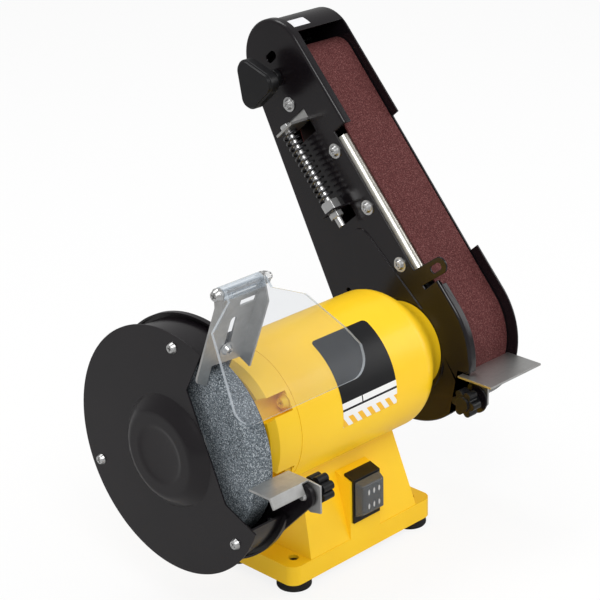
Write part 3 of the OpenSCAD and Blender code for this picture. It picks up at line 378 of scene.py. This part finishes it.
@dataclass(frozen=True)
class Grit(Finish):
    """Abrasive: packed grains of three shades in a bond."""

    dark: Colour
    middle: Colour
    light: Colour
    grain: float
    relief: float
    roughness: float = 0.85
    bloom: float = 0.2

    def shade(self, g: Graph) -> None:
        """Cells for the grains, noise for the bond between them."""
        at = g.place()
        tone = g.node("SeparateColor", {}, {"Color": g.cells(at, self.grain, "Color")}) * 0.75
        bond = g.noise(at, self.grain * 0.9, 2.0) * 0.4
        tone = tone + bond + (g.noise(at, 35.0, 3.0) - 0.5) * self.bloom
        colour = g.ramp(tone, (0.16, self.dark), (0.48, self.middle), (0.7, self.middle),
                        (0.95, self.light))
        sparkle = g.cells(at, self.grain * 0.7)
        g.surface({
            "Base Color": colour,
            "Roughness": self.roughness - (tone > 0.9) * 0.35,
            "Specular IOR Level": 0.2,
        }, sparkle + g.noise(at, self.grain * 0.5, 3.0), 0.0005, self.relief)


@dataclass(frozen=True)
class Sheet(Finish):
    """Clear sheet: most light goes straight through, the rest is a thin gloss over a tint."""

    tint: Colour = (0.95, 0.955, 0.96)
    body: Colour = (0.55, 0.58, 0.62)
    share: float = 0.045

    def shade(self, g: Graph) -> None:
        """Mixes a see-through shader with a glossy skin that handling has hazed a little."""
        haze = g.noise(g.place(), 45.0, 4.0, 0.6)
        through = g.node("BsdfTransparent", {}, {"Color": self.tint})
        skin = g.node("BsdfPrincipled", {}, {
            "Base Color": self.body, "Roughness": haze * 0.1 + 0.04})
        g.end(g.node("MixShader", {}, {0: haze * 0.04 + self.share, 1: through, 2: skin}))


@dataclass(frozen=True)
class Clear(Finish):
    """Clouded plastic."""

    tint: Colour
    roughness: float
    transmission: float
    haze: float

    def shade(self, g: Graph) -> None:
        """A see-through body with faint handling haze."""
        haze = g.noise(g.place(), 45.0, 4.0, 0.6)
        g.surface({
            "Base Color": g.mix(haze * 0.3, self.tint, tuple(c * 0.9 for c in self.tint)),
            "Roughness": self.roughness + (haze - 0.4).clamp() * self.haze,
            "Transmission Weight": self.transmission,
            "IOR": 1.46,
        })


@dataclass(frozen=True)
class Plate(Finish):
    """The motor's plate: a black field, white bands and a row of slanted bars, with no lettering.

    Its sizes are in metres from the plate's top left corner.
    """

    strip: Span = (0.0528, 0.0575)
    gap: Span = (0.0205, 0.0216)
    foot: Span = (0.0592, 0.0718)
    bars_top: float = 0.0640
    bar_pitch: float = 0.0098
    bar_slope: float = 0.75

    def shade(self, g: Graph) -> None:
        """Draws the bands on the plate's own map, in metres from its top left corner."""
        both = g.node("UVMap", {"uv_map": "plate"})
        x = g.node("SeparateXYZ", {}, {"Vector": both}, "X")
        y = g.node("SeparateXYZ", {}, {"Vector": both}, "Y")
        at = g.place()

        def band(top: float, bottom: float) -> Wire:
            """1 between two distances from the top."""
            return (y > top) * (y < bottom)

        white = band(*self.strip) * (1.0 - (x > self.gap[0]) * (x < self.gap[1]))
        lower = band(*self.foot)
        bars = ((x - (y - self.bars_top) * self.bar_slope) % self.bar_pitch) > self.bar_pitch / 2
        field = g.mix(g.noise(at, 40.0, 3.0), (0.006, 0.006, 0.007), (0.012, 0.012, 0.013))
        colour = g.mix(white + lower, field, (0.86, 0.86, 0.85))
        colour = g.mix(band(self.bars_top, self.foot[1]) * bars, colour, (0.92, 0.5, 0.03))
        g.surface({
            "Base Color": colour,
            "Specular IOR Level": 0.25,
            "Roughness": 0.28 + g.noise(at, 300.0) * 0.12,
        }, g.noise(at, 500.0), 0.0001, 0.1)


YELLOW = Enamel("yellow_enamel", "yellow_paint", (1.0, 0.63, 0.012), (0.97, 0.57, 0.008),
                0.34, 0.16, 0.2, 0.35)
BLACK = Enamel("black_enamel", "black_paint", (0.006, 0.0045, 0.006), (0.009, 0.0065, 0.008),
               0.18, 0.1, 0.05, 0.4)
ZINC = Plated("zinc_plate", "zinc", (0.66, 0.66, 0.65), (0.42, 0.41, 0.39), 0.28, (0.05, 1.0, 1.0))
PLATEN = Plated("ground_platen", "platen_steel", (0.8, 0.78, 0.71), (0.36, 0.35, 0.31), 0.22,
                (1.0, 1.0, 0.03), (ARM_LEAN, 0.0, 0.0), 0.3)
STEEL = Plated("machined_steel", "steel", (0.5, 0.5, 0.52), (0.3, 0.3, 0.31), 0.32)
SPRING = Plated("spring_steel", "steel", (0.16, 0.16, 0.17), (0.05, 0.05, 0.05), 0.2)
BRIGHT = Plated("bright_fastener", "zinc", (0.78, 0.78, 0.78), (0.5, 0.5, 0.49), 0.2)
ALLOY = Plated("turned_alloy", "aluminium", (0.72, 0.73, 0.75), (0.55, 0.55, 0.57), 0.3)
COPPER = Plated("copper_wire", "copper", (0.72, 0.34, 0.16), (0.5, 0.2, 0.08), 0.35)
PLASTIC = Moulded("dark_plastic", "black_plastic", (0.005, 0.005, 0.006), (0.01, 0.01, 0.011),
                  0.24, 900.0, 0.15, 0.35)
RUBBER = Moulded("dark_rubber", "black_rubber", (0.012, 0.012, 0.012), (0.025, 0.025, 0.025),
                 0.6, 700.0, 0.4)
WHEEL = Grit("wheel_grit", "abrasive_wheel", (0.02, 0.025, 0.03), (0.14, 0.165, 0.185),
             (0.46, 0.5, 0.53), 1350.0, 0.6)
BELT = Grit("belt_grit", "abrasive_belt", (0.04, 0.009, 0.009), (0.1, 0.026, 0.026), (0.22, 0.085, 0.08),
            2200.0, 0.5, 0.85, 0.08)
CLEAR = Sheet("clear_shield", "clear_plastic")
CLEAR_EDGE = Sheet("clear_shield_edge", "clear_plastic", (0.8, 0.84, 0.87), (0.75, 0.8, 0.85), 0.45)
BELT_BACK = Moulded("belt_cloth", "abrasive_belt", (0.022, 0.014, 0.012), (0.04, 0.026, 0.022), 0.8)
LABEL = Moulded("white_label", "black_plastic", (0.8, 0.8, 0.82), (0.7, 0.7, 0.72), 0.35)
BOOT = Clear("clouded_boot", "clear_boot", (0.2, 0.21, 0.22), 0.16, 0.6, 0.2)
MARK = Moulded("white_mark", "black_plastic", (0.5, 0.5, 0.5), (0.36, 0.36, 0.36), 0.5)
PLATE = Plate("motor_plate", "black_plastic")


# ------------------------------------------------------------------ pieces

class Bench:
    """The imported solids, and the making of pieces that ride on them."""

    def __init__(self, frame: dict) -> None:
        """Reads which body holds each solid.

        Args:
            frame: What loading the frame gave.
        """
        self.solids: dict[str, bpy.types.Object] = frame["nodes"]
        bodies = frame["record"]["behaviour"]["bodies"]
        self.body_of: dict[str, str] = {node: body for body, nodes in bodies.items() for node in nodes}

    def dress(self, finish: Finish, *nodes: str) -> None:
        """Gives solids their finish and leaves their shape alone.

        Args:
            finish: The finish they get.
            nodes: The solids.
        """
        for node in nodes:
            slots = self.solids[node].data.materials
            slots.clear()
            slots.append(finish.material())
            log.info("dressed %s in %s", node, finish.name)

    def add(self, name: str, bm: bmesh.types.BMesh, finish: Finish, body: str,
            bevel: Edge = Edge.SHARP, segments: int = 2, replaces: Sequence[str] = (),
            smooth: bool = True) -> bpy.types.Object:
        """Turns a bmesh into a finished piece.

        Args:
            name: The piece's name.
            bm: Its mesh, in the machine's frame; it is freed.
            finish: Its finish.
            body: The body it moves with.
            bevel: How far its edges are rounded.
            segments: Steps in the rounding.
            replaces: Solids that it stands for.
            smooth: Whether its faces are shaded smooth.

        Returns:
            The new object.
        """
        mesh = bpy.data.meshes.new(name)
        bm.to_mesh(mesh)
        bm.free()
        mesh.materials.append(finish.material())
        piece = bpy.data.objects.new(name, mesh)
        bpy.context.collection.objects.link(piece)
        if smooth:
            mesh.shade_smooth()
            if bevel is Edge.SHARP:
                mesh.set_sharp_from_angle(angle=SHARP_FROM)
        if bevel is not Edge.SHARP:
            rounding = piece.modifiers.new("edges", "BEVEL")
            rounding.width = bevel.value
            rounding.segments = segments
            weighted = "bevel_weight_edge" in mesh.attributes
            rounding.limit_method = "WEIGHT" if weighted else "ANGLE"
            rounding.angle_limit = ROUND_FROM
            rounding.harden_normals = True
            rounding.use_clamp_overlap = bevel is not Edge.BEND
            rounding.miter_outer = "MITER_ARC"
            normals = piece.modifiers.new("normals", "WEIGHTED_NORMAL")
            normals.weight = 90
            normals.keep_sharp = True
        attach(piece, body)
        if replaces:
            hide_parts(*replaces)
        log.info("made %s in %s on %s", name, finish.name, body)
        return piece

    def copy_of(self, node: str, flat: float = 0.6) -> bmesh.types.BMesh:
        """A solid's mesh, with its loose triangles joined into faces.

        Args:
            node: The solid.
            flat: The angle in degrees up to which neighbours are joined.

        Returns:
            The mesh, to be freed by whoever takes it.
        """
        bm = bmesh.new()
        bm.from_mesh(self.solids[node].data)
        bmesh.ops.remove_doubles(bm, verts=bm.verts, dist=JOIN_WITHIN)
        bmesh.ops.dissolve_limit(bm, angle_limit=radians(flat), verts=bm.verts, edges=bm.edges)
        return bm

    def soften(self, finish: Finish, edge: Edge, *nodes: str, segments: int = 2,
               flat: float = 0.6) -> None:
        """Replaces solids by copies with rounded edges.

        Args:
            finish: The finish they get.
            edge: How far their edges are rounded.
            nodes: The solids.
            segments: Steps in the rounding.
            flat: The angle in degrees up to which neighbouring triangles are joined.
        """
        for node in nodes:
            self.add(node + "_finished", self.copy_of(node, flat), finish, self.body_of[node],
                     edge, segments, (node,))

    def wrap(self, name: str, finish: Finish, body: str, axle: Matrix, radius: float,
             along: Span, around: Span, corner: float, lift: float = 0.00012) -> None:
        """A thin plate wrapped on a drum, with its first two corners rounded.

        Args:
            name: The piece's name.
            finish: Its finish, which can read the map "plate" in metres from the first corner.
            body: The body it moves with.
            axle: Frame whose X axis is the drum's axis.
            radius: Radius of the drum.
            along: Where it starts and ends along the axis.
            around: Angles from +Y through +Z where it starts and ends.
            corner: Radius of its corners.
            lift: How far it stands off the drum.
        """
        width = along[1] - along[0]
        height = (around[1] - around[0]) * radius
        bm = bmesh.new()
        bmesh.ops.create_grid(bm, x_segments=24, y_segments=48, size=0.5)
        bmesh.ops.scale(bm, vec=(width, height, 1.0), verts=bm.verts)
        bmesh.ops.translate(bm, vec=(width / 2, height / 2, 0.0), verts=bm.verts)
        for side in (0, 1):
            for step in range(1, 6):
                turn = radians(90 * step / 6)
                hub = Vector((corner if side == 0 else width - corner, corner, 0.0))
                out = Vector((-cos(turn) if side == 0 else cos(turn), -sin(turn), 0.0))
                bmesh.ops.bisect_plane(bm, geom=bm.verts[:] + bm.edges[:] + bm.faces[:],
                                       plane_co=hub + out * corner, plane_no=out, clear_outer=True)
        chart = bm.loops.layers.uv.new("plate")
        for face in bm.faces:
            for loop in face.loops:
                loop[chart].uv = loop.vert.co.xy
        reach = radius + lift
        for vert in bm.verts:
            turn = around[0] + vert.co.y / radius
            vert.co = Vector((along[0] + vert.co.x, reach * cos(turn), reach * sin(turn)))
        bmesh.ops.recalc_face_normals(bm, faces=bm.faces)
        middle = max(bm.faces, key=lambda face: face.calc_area())
        if middle.normal.dot(middle.calc_center_median() * Vector((0.0, 1.0, 1.0))) < 0:
            bmesh.ops.reverse_faces(bm, faces=bm.faces)
        bmesh.ops.transform(bm, matrix=axle, verts=bm.verts)
        self.add(name, bm, finish, body)


@dataclass
class Base:
    """Cast base and feet, with dark cups down the mounting holes as painted shade."""

    bench: Bench
    hole_x: float = 0.065
    hole_y: float = 0.031
    cup_r: float = 0.00375
    cup_wall: float = 0.0007
    cup_under: float = 0.0125
    cup_floor: float = 0.014
    cup_top: float = 0.0205

    def build(self) -> None:
        """Rounds the casting, dresses the rest and puts painted-shade cups in the holes."""
        self.bench.soften(YELLOW, Edge.CAST, "base_casting", segments=3)
        self.bench.soften(RUBBER, Edge.MOULDED, "rubber_feet")
        self.bench.dress(ZINC, "bottom_cover", "bottom_cover_screws", "motor_mount_screws")
        self.bench.dress(ALLOY, "capacitor")
        # Painted shade: black cups make the mounting holes look as dark as their depth would.
        self.shade_cups()

    def shade_cups(self) -> None:
        """A dark rubber cup down each mounting hole, closed at the bottom: painted shade standing for the
        dark depth of the hole.
        """
        bm = bmesh.new()
        inner_r = self.cup_r - self.cup_wall
        profile = [(0.0, self.cup_floor), (0.0, self.cup_under), (self.cup_r, self.cup_under),
                   (self.cup_r, self.cup_top), (inner_r, self.cup_top), (inner_r, self.cup_floor)]
        for x in (-self.hole_x, self.hole_x):
            for y in (-self.hole_y, self.hole_y):
                verts = [bm.verts.new((x + r, y, z)) for r, z in profile]
                edges = [bm.edges.new(pair) for pair in zip(verts, verts[1:] + verts[:1])]
                bmesh.ops.spin(bm, geom=verts + edges, cent=(x, y, 0.0), axis=(0.0, 0.0, 1.0),
                               angle=2 * pi, steps=32, use_merge=True)
        bmesh.ops.remove_doubles(bm, verts=bm.verts, dist=1e-6)
        bmesh.ops.recalc_face_normals(bm, faces=bm.faces)
        # The cups are painted shade, a dark solid where the holes only have shade.
        self.bench.add("hole_shade_cups", bm, RUBBER, "base")


@dataclass
class Switch:
    """Switch frame, clouded boot and rocker, with plain marks."""

    bench: Bench
    centre: Point = (0.0002, -0.0535, 0.0565)
    pitch: Span = (0.0056, 0.0118)
    pad: Point = (0.0014, 0.0003, 0.0033)
    pad_depth: float = 0.0002
    boot_lift: float = 0.003

    def build(self) -> None:
        """Builds the switch's pieces, with the boot a little higher than its solid."""
        self.bench.soften(PLASTIC, Edge.MOULDED, "switch_frame", "switch_rocker")
        boot = self.bench.copy_of("switch_boot")
        bmesh.ops.translate(boot, vec=(0.0, 0.0, self.boot_lift), verts=boot.verts)
        self.bench.add("switch_boot_finished", boot, BOOT, "base", Edge.MOULDED, 3, ("switch_boot",))
        self.marks()

    def marks(self) -> None:
        """Two rows of three small raised pads on the boot."""
        bm = bmesh.new()
        for column in (-1, 0, 1):
            for row in (-1, 1):
                verts = bmesh.ops.create_icosphere(bm, subdivisions=2, radius=1.0)["verts"]
                bmesh.ops.scale(bm, vec=self.pad, verts=verts)
                step = Vector((column * self.pitch[0], self.pad_depth, row * self.pitch[1] * 0.5))
                bmesh.ops.translate(bm, vec=Vector(self.centre) + step, verts=verts)
        self.bench.add("switch_marks", bm, MARK, "base")


@dataclass
class Motor:
    """Motor housing, end caps and the plate on its side."""

    bench: Bench
    radius: float = 0.056
    left: float = -0.0345
    right: float = 0.0233
    top: float = radians(114.5)
    bottom: float = radians(188.0)
    corner: float = 0.004

    def build(self) -> None:
        """Builds the motor's pieces."""
        self.bench.soften(YELLOW, Edge.TURNED, "motor_housing", "right_end_cap")
        self.bench.soften(YELLOW, Edge.MOULDED, "left_end_cap")
        self.bench.soften(YELLOW, Edge.TURNED, "end_cap_screws")
        self.bench.dress(STEEL, "stator_core", "rotor_core", "ball_bearings", "motor_shaft",
                         "arm_collar")
        self.bench.dress(COPPER, "stator_windings")
        self.plate()

    def plate(self) -> None:
        """A thin plate with rounded top corners, wrapped on the housing."""
        axle = Matrix.Translation((0.0, 0.0, SHAFT_HEIGHT))
        self.bench.wrap("motor_plate", PLATE, "base", axle, self.radius,
                        (self.left, self.right), (self.top, self.bottom), self.corner)


@dataclass
class WheelEnd:
    """Guard, grinding wheel and the fasteners of that end."""

    bench: Bench

    def build(self) -> None:
        """Builds the grinding end's pieces."""
        self.bench.soften(BLACK, Edge.TURNED, "wheel_guard", "guard_cover", "rest_support", flat=0.05)
        self.bench.soften(WHEEL, Edge.TURNED, "grinding_wheel")
        self.bench.soften(BRIGHT, Edge.SHEET, "outer_flange", "cover_screws", "rest_bolt", "deflector_screw",
                          "shield_rod", "wheel_nut")
        self.bench.dress(ZINC, "inner_flange", "guard_mount_screws")
        self.bench.soften(ZINC, Edge.SHEET, "grinder_rest", "spark_deflector")
        self.bench.soften(PLASTIC, Edge.SOFT, "rest_knob", segments=3)
        self.shield()

    def shield(self) -> None:
        """The clear sheet, with the cut edges a little brighter than the faces."""
        bm = self.bench.copy_of("eye_shield", 0.05)
        across = max(bm.faces, key=lambda face: face.calc_area()).normal.copy()
        for face in bm.faces:
            face.smooth = False
            face.material_index = int(abs(face.normal.dot(across)) < 0.9)
        piece = self.bench.add("eye_shield_finished", bm, CLEAR, self.bench.body_of["eye_shield"],
                               replaces=("eye_shield",), smooth=False)
        piece.data.materials.append(CLEAR_EDGE.material())


@dataclass
class BeltEnd:
    """Belt arm with its plate, guards, platen, belt and tension gear."""

    bench: Bench
    spring_x: float = 0.0858
    spring_n: float = 0.015
    coil_radius: float = 0.00605
    wire: float = 0.0009
    turns: int = 13
    turn_steps: int = 28
    travel: float = 0.009
    low: float = 0.1278
    high: float = 0.1904
    sheet_x: float = 0.0968
    rim: float = 0.006
    crease: float = 0.2
    hood_n: float = 0.029
    hood_s: float = 0.247
    hood_r: float = 0.03138
    label_x: Span = (0.106, 0.124)
    label_turn: Span = (radians(143), radians(160))
    label_corner: float = 0.0005

    def build(self) -> None:
        """Builds the belt end's pieces."""
        self.bench.soften(BLACK, Edge.TURNED, "outer_guard", "top_hood", flat=0.05)
        self.arm_plate()
        self.bench.soften(PLATEN, Edge.SHEET, "platen")
        self.belt()
        self.bench.soften(BRIGHT, Edge.SHEET, "platen_bolts", "hood_screws", "guide_screw", "tension_bolt",
                          "tension_nuts", "belt_rest_bolt", "drive_wheel_nut")
        self.bench.soften(ZINC, Edge.SHEET, "idler_carriage", "belt_rest")
        self.bench.dress(STEEL, "idler_axle", "idler_bearings")
        self.bench.dress(ALLOY, "idler_roller", "drive_wheel")
        self.bench.soften(PLASTIC, Edge.SOFT, "belt_rest_knob", "tracking_knob", segments=3)
        self.spring()
        self.label()

    def arm_plate(self) -> None:
        """The arm plate, whose rim leaves the sheet in a wide bend."""
        bm = self.bench.copy_of("arm_plate", 0.05)
        weight = bm.edges.layers.float.new("bevel_weight_edge")
        for edge in bm.edges:
            if len(edge.link_faces) != 2 or edge.calc_face_angle(0.0) < ROUND_FROM:
                continue
            at_sheet = all(abs(vert.co.x - self.sheet_x) < 1e-5 for vert in edge.verts)
            deep = any(max(vert.co.x for vert in face.verts) - self.sheet_x > self.rim
                       for face in edge.link_faces)
            edge[weight] = 1.0 if at_sheet and deep else self.crease
        self.bench.add("arm_plate_finished", bm, BLACK, "belt_arm", Edge.BEND, 5, ("arm_plate",))

    def label(self) -> None:
        """A bare white label over the hood's top."""
        axle = ARM @ Matrix.Translation((0.0, -self.hood_n, self.hood_s))
        self.bench.wrap("hood_label", LABEL, "belt_arm", axle, self.hood_r, self.label_x,
                        self.label_turn, self.label_corner)

    def belt(self) -> None:
        """The belt, with grit outside and cloth inside."""
        bm = self.bench.copy_of("sanding_belt", 0.05)
        middle = sum((vert.co for vert in bm.verts), Vector()) / len(bm.verts)
        for face in bm.faces:
            face.material_index = int((face.calc_center_median() - middle).dot(face.normal) < 0.0)
        piece = self.bench.add("sanding_belt_finished", bm, BELT, self.bench.body_of["sanding_belt"],
                               replaces=("sanding_belt",))
        piece.data.materials.append(BELT_BACK.material())

    def spring(self) -> None:
        """A round-wire coil, swept by a screw spin."""
        bm = bmesh.new()
        ring = bmesh.ops.create_circle(bm, cap_ends=False, segments=12, radius=self.wire)
        bmesh.ops.rotate(bm, matrix=Matrix.Rotation(pi / 2, 3, "X"), verts=ring["verts"])
        bmesh.ops.translate(bm, vec=(self.coil_radius, 0.0, 0.0), verts=ring["verts"])
        rise = self.high - self.low
        steps = self.turns * self.turn_steps
        bmesh.ops.spin(bm, geom=bm.verts[:] + bm.edges[:], cent=(0.0, 0.0, 0.0), axis=(0.0, 0.0, 1.0),
                       angle=2 * pi * self.turns, steps=steps, dvec=(0.0, 0.0, rise / steps))
        bmesh.ops.holes_fill(bm, edges=bm.edges, sides=0)
        bmesh.ops.translate(bm, vec=(self.spring_x, -self.spring_n, self.low), verts=bm.verts)
        bmesh.ops.transform(bm, matrix=ARM, verts=bm.verts)
        bmesh.ops.recalc_face_normals(bm, faces=bm.faces)
        coil = self.bench.add("tension_coil", bm, SPRING, "belt_arm", replaces=("tension_spring",))
        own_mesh(coil)


# ------------------------------------------------------------------ studio

@dataclass
class Studio:
    """Camera, floor and lights."""

    place: Point = (-0.9439, -0.9329, 0.7479)
    azimuth: float = radians(-45.1)
    elevation: float = radians(24.1)
    roll: float = radians(-1.3)
    lens: float = 115.74
    shift: Span = (-0.0228, 0.1)
    floor_size: float = 8.0
    lamp_target: Point = (0.0, 0.0, 0.15)

    def camera(self) -> None:
        """A long lens at the working side."""
        back = Vector((sin(self.azimuth) * cos(self.elevation), -cos(self.azimuth) * cos(self.elevation),
                       sin(self.elevation)))
        right = Vector((cos(self.azimuth), sin(self.azimuth), 0.0))
        up = back.cross(right)
        x = right * cos(self.roll) + up * sin(self.roll)
        y = up * cos(self.roll) - right * sin(self.roll)
        data = bpy.data.cameras.new("camera")
        data.lens, data.sensor_width = self.lens, 36.0
        data.shift_x, data.shift_y = self.shift
        data.clip_end = 50.0
        camera = bpy.data.objects.new("camera", data)
        turn = Matrix((x, y, back)).transposed().to_4x4()
        camera.matrix_world = Matrix.Translation(self.place) @ turn
        bpy.context.collection.objects.link(camera)
        bpy.context.scene.camera = camera

    def floor(self) -> None:
        """A pale floor that keeps the machine's shadow."""
        bm = bmesh.new()
        bmesh.ops.create_grid(bm, x_segments=2, y_segments=2, size=self.floor_size)
        mesh = bpy.data.meshes.new("floor")
        bm.to_mesh(mesh)
        bm.free()
        paint = bpy.data.materials.new("floor")
        paint.use_nodes = True
        g = Graph(paint.node_tree)
        shine = g.node("LightPath", output="Is Glossy Ray")
        matte = g.node("BsdfDiffuse", {}, {"Color": g.mix(shine, (0.9, 0.9, 0.9), (0.45, 0.45, 0.45))})
        glow = g.node("Emission", {}, {"Color": (1.0, 1.0, 1.0), "Strength": 1.0})
        ray = g.node("LightPath", output="Is Camera Ray")
        g.end(g.node("MixShader", {}, {0: ray * 0.85, 1: matte, 2: glow}))
        mesh.materials.append(paint)
        floor = bpy.data.objects.new("floor", mesh)
        bpy.context.collection.objects.link(floor)

    def lamp(self, name: str, place: Point, size: Span, power: float) -> None:
        """One softbox aimed at the machine.

        Args:
            name: The lamp's name.
            place: Where it stands.
            size: Its width and height.
            power: Its power in watts.
        """
        data = bpy.data.lights.new(name, "AREA")
        data.shape = "RECTANGLE"
        data.size, data.size_y = size
        data.energy = power
        lamp = bpy.data.objects.new(name, data)
        lamp.location = place
        aim = Vector(self.lamp_target) - Vector(place)
        lamp.rotation_euler = aim.to_track_quat("-Z", "Y").to_euler()
        bpy.context.collection.objects.link(lamp)

    def light(self) -> None:
        """World light and three softboxes."""
        scene = bpy.context.scene
        scene.view_settings.view_transform = "Standard"
        world = bpy.data.worlds.new("studio")
        world.use_nodes = True
        scene.world = world
        g = Graph(world.node_tree)
        straight = g.node("LightPath", output="Is Camera Ray")
        seen = (straight + g.node("LightPath", output="Is Transmission Ray")).clamp()
        shine = g.node("LightPath", output="Is Glossy Ray")
        sky = g.node("Background", {}, {
            "Color": (1.0, 1.0, 1.0), "Strength": seen * 0.42 + 0.58 - shine * 0.2})
        g.end(sky, "OutputWorld")
        self.lamp("key", (-1.1, -1.3, 1.9), (1.0, 1.0), 24.0)
        self.lamp("fill", (1.6, -1.0, 0.9), (0.9, 1.2), 8.0)
        self.lamp("top", (0.1, 0.9, 2.0), (1.4, 0.8), 14.0)

    def build(self) -> None:
        """Sets the whole studio."""
        self.camera()
        self.floor()
        self.light()


def main() -> None:
    """Builds the studio and then the machine, sub-assembly by sub-assembly."""
    logging.basicConfig(level=logging.INFO, format="%(name)s: %(message)s")
    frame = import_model()
    Studio().build()
    bench = Bench(frame)
    for part in (Base(bench), Switch(bench), Motor(bench), WheelEnd(bench), BeltEnd(bench)):
        part.build()
        log.info("finished %s", type(part).__name__)


if __name__ == "__main__":
    main()
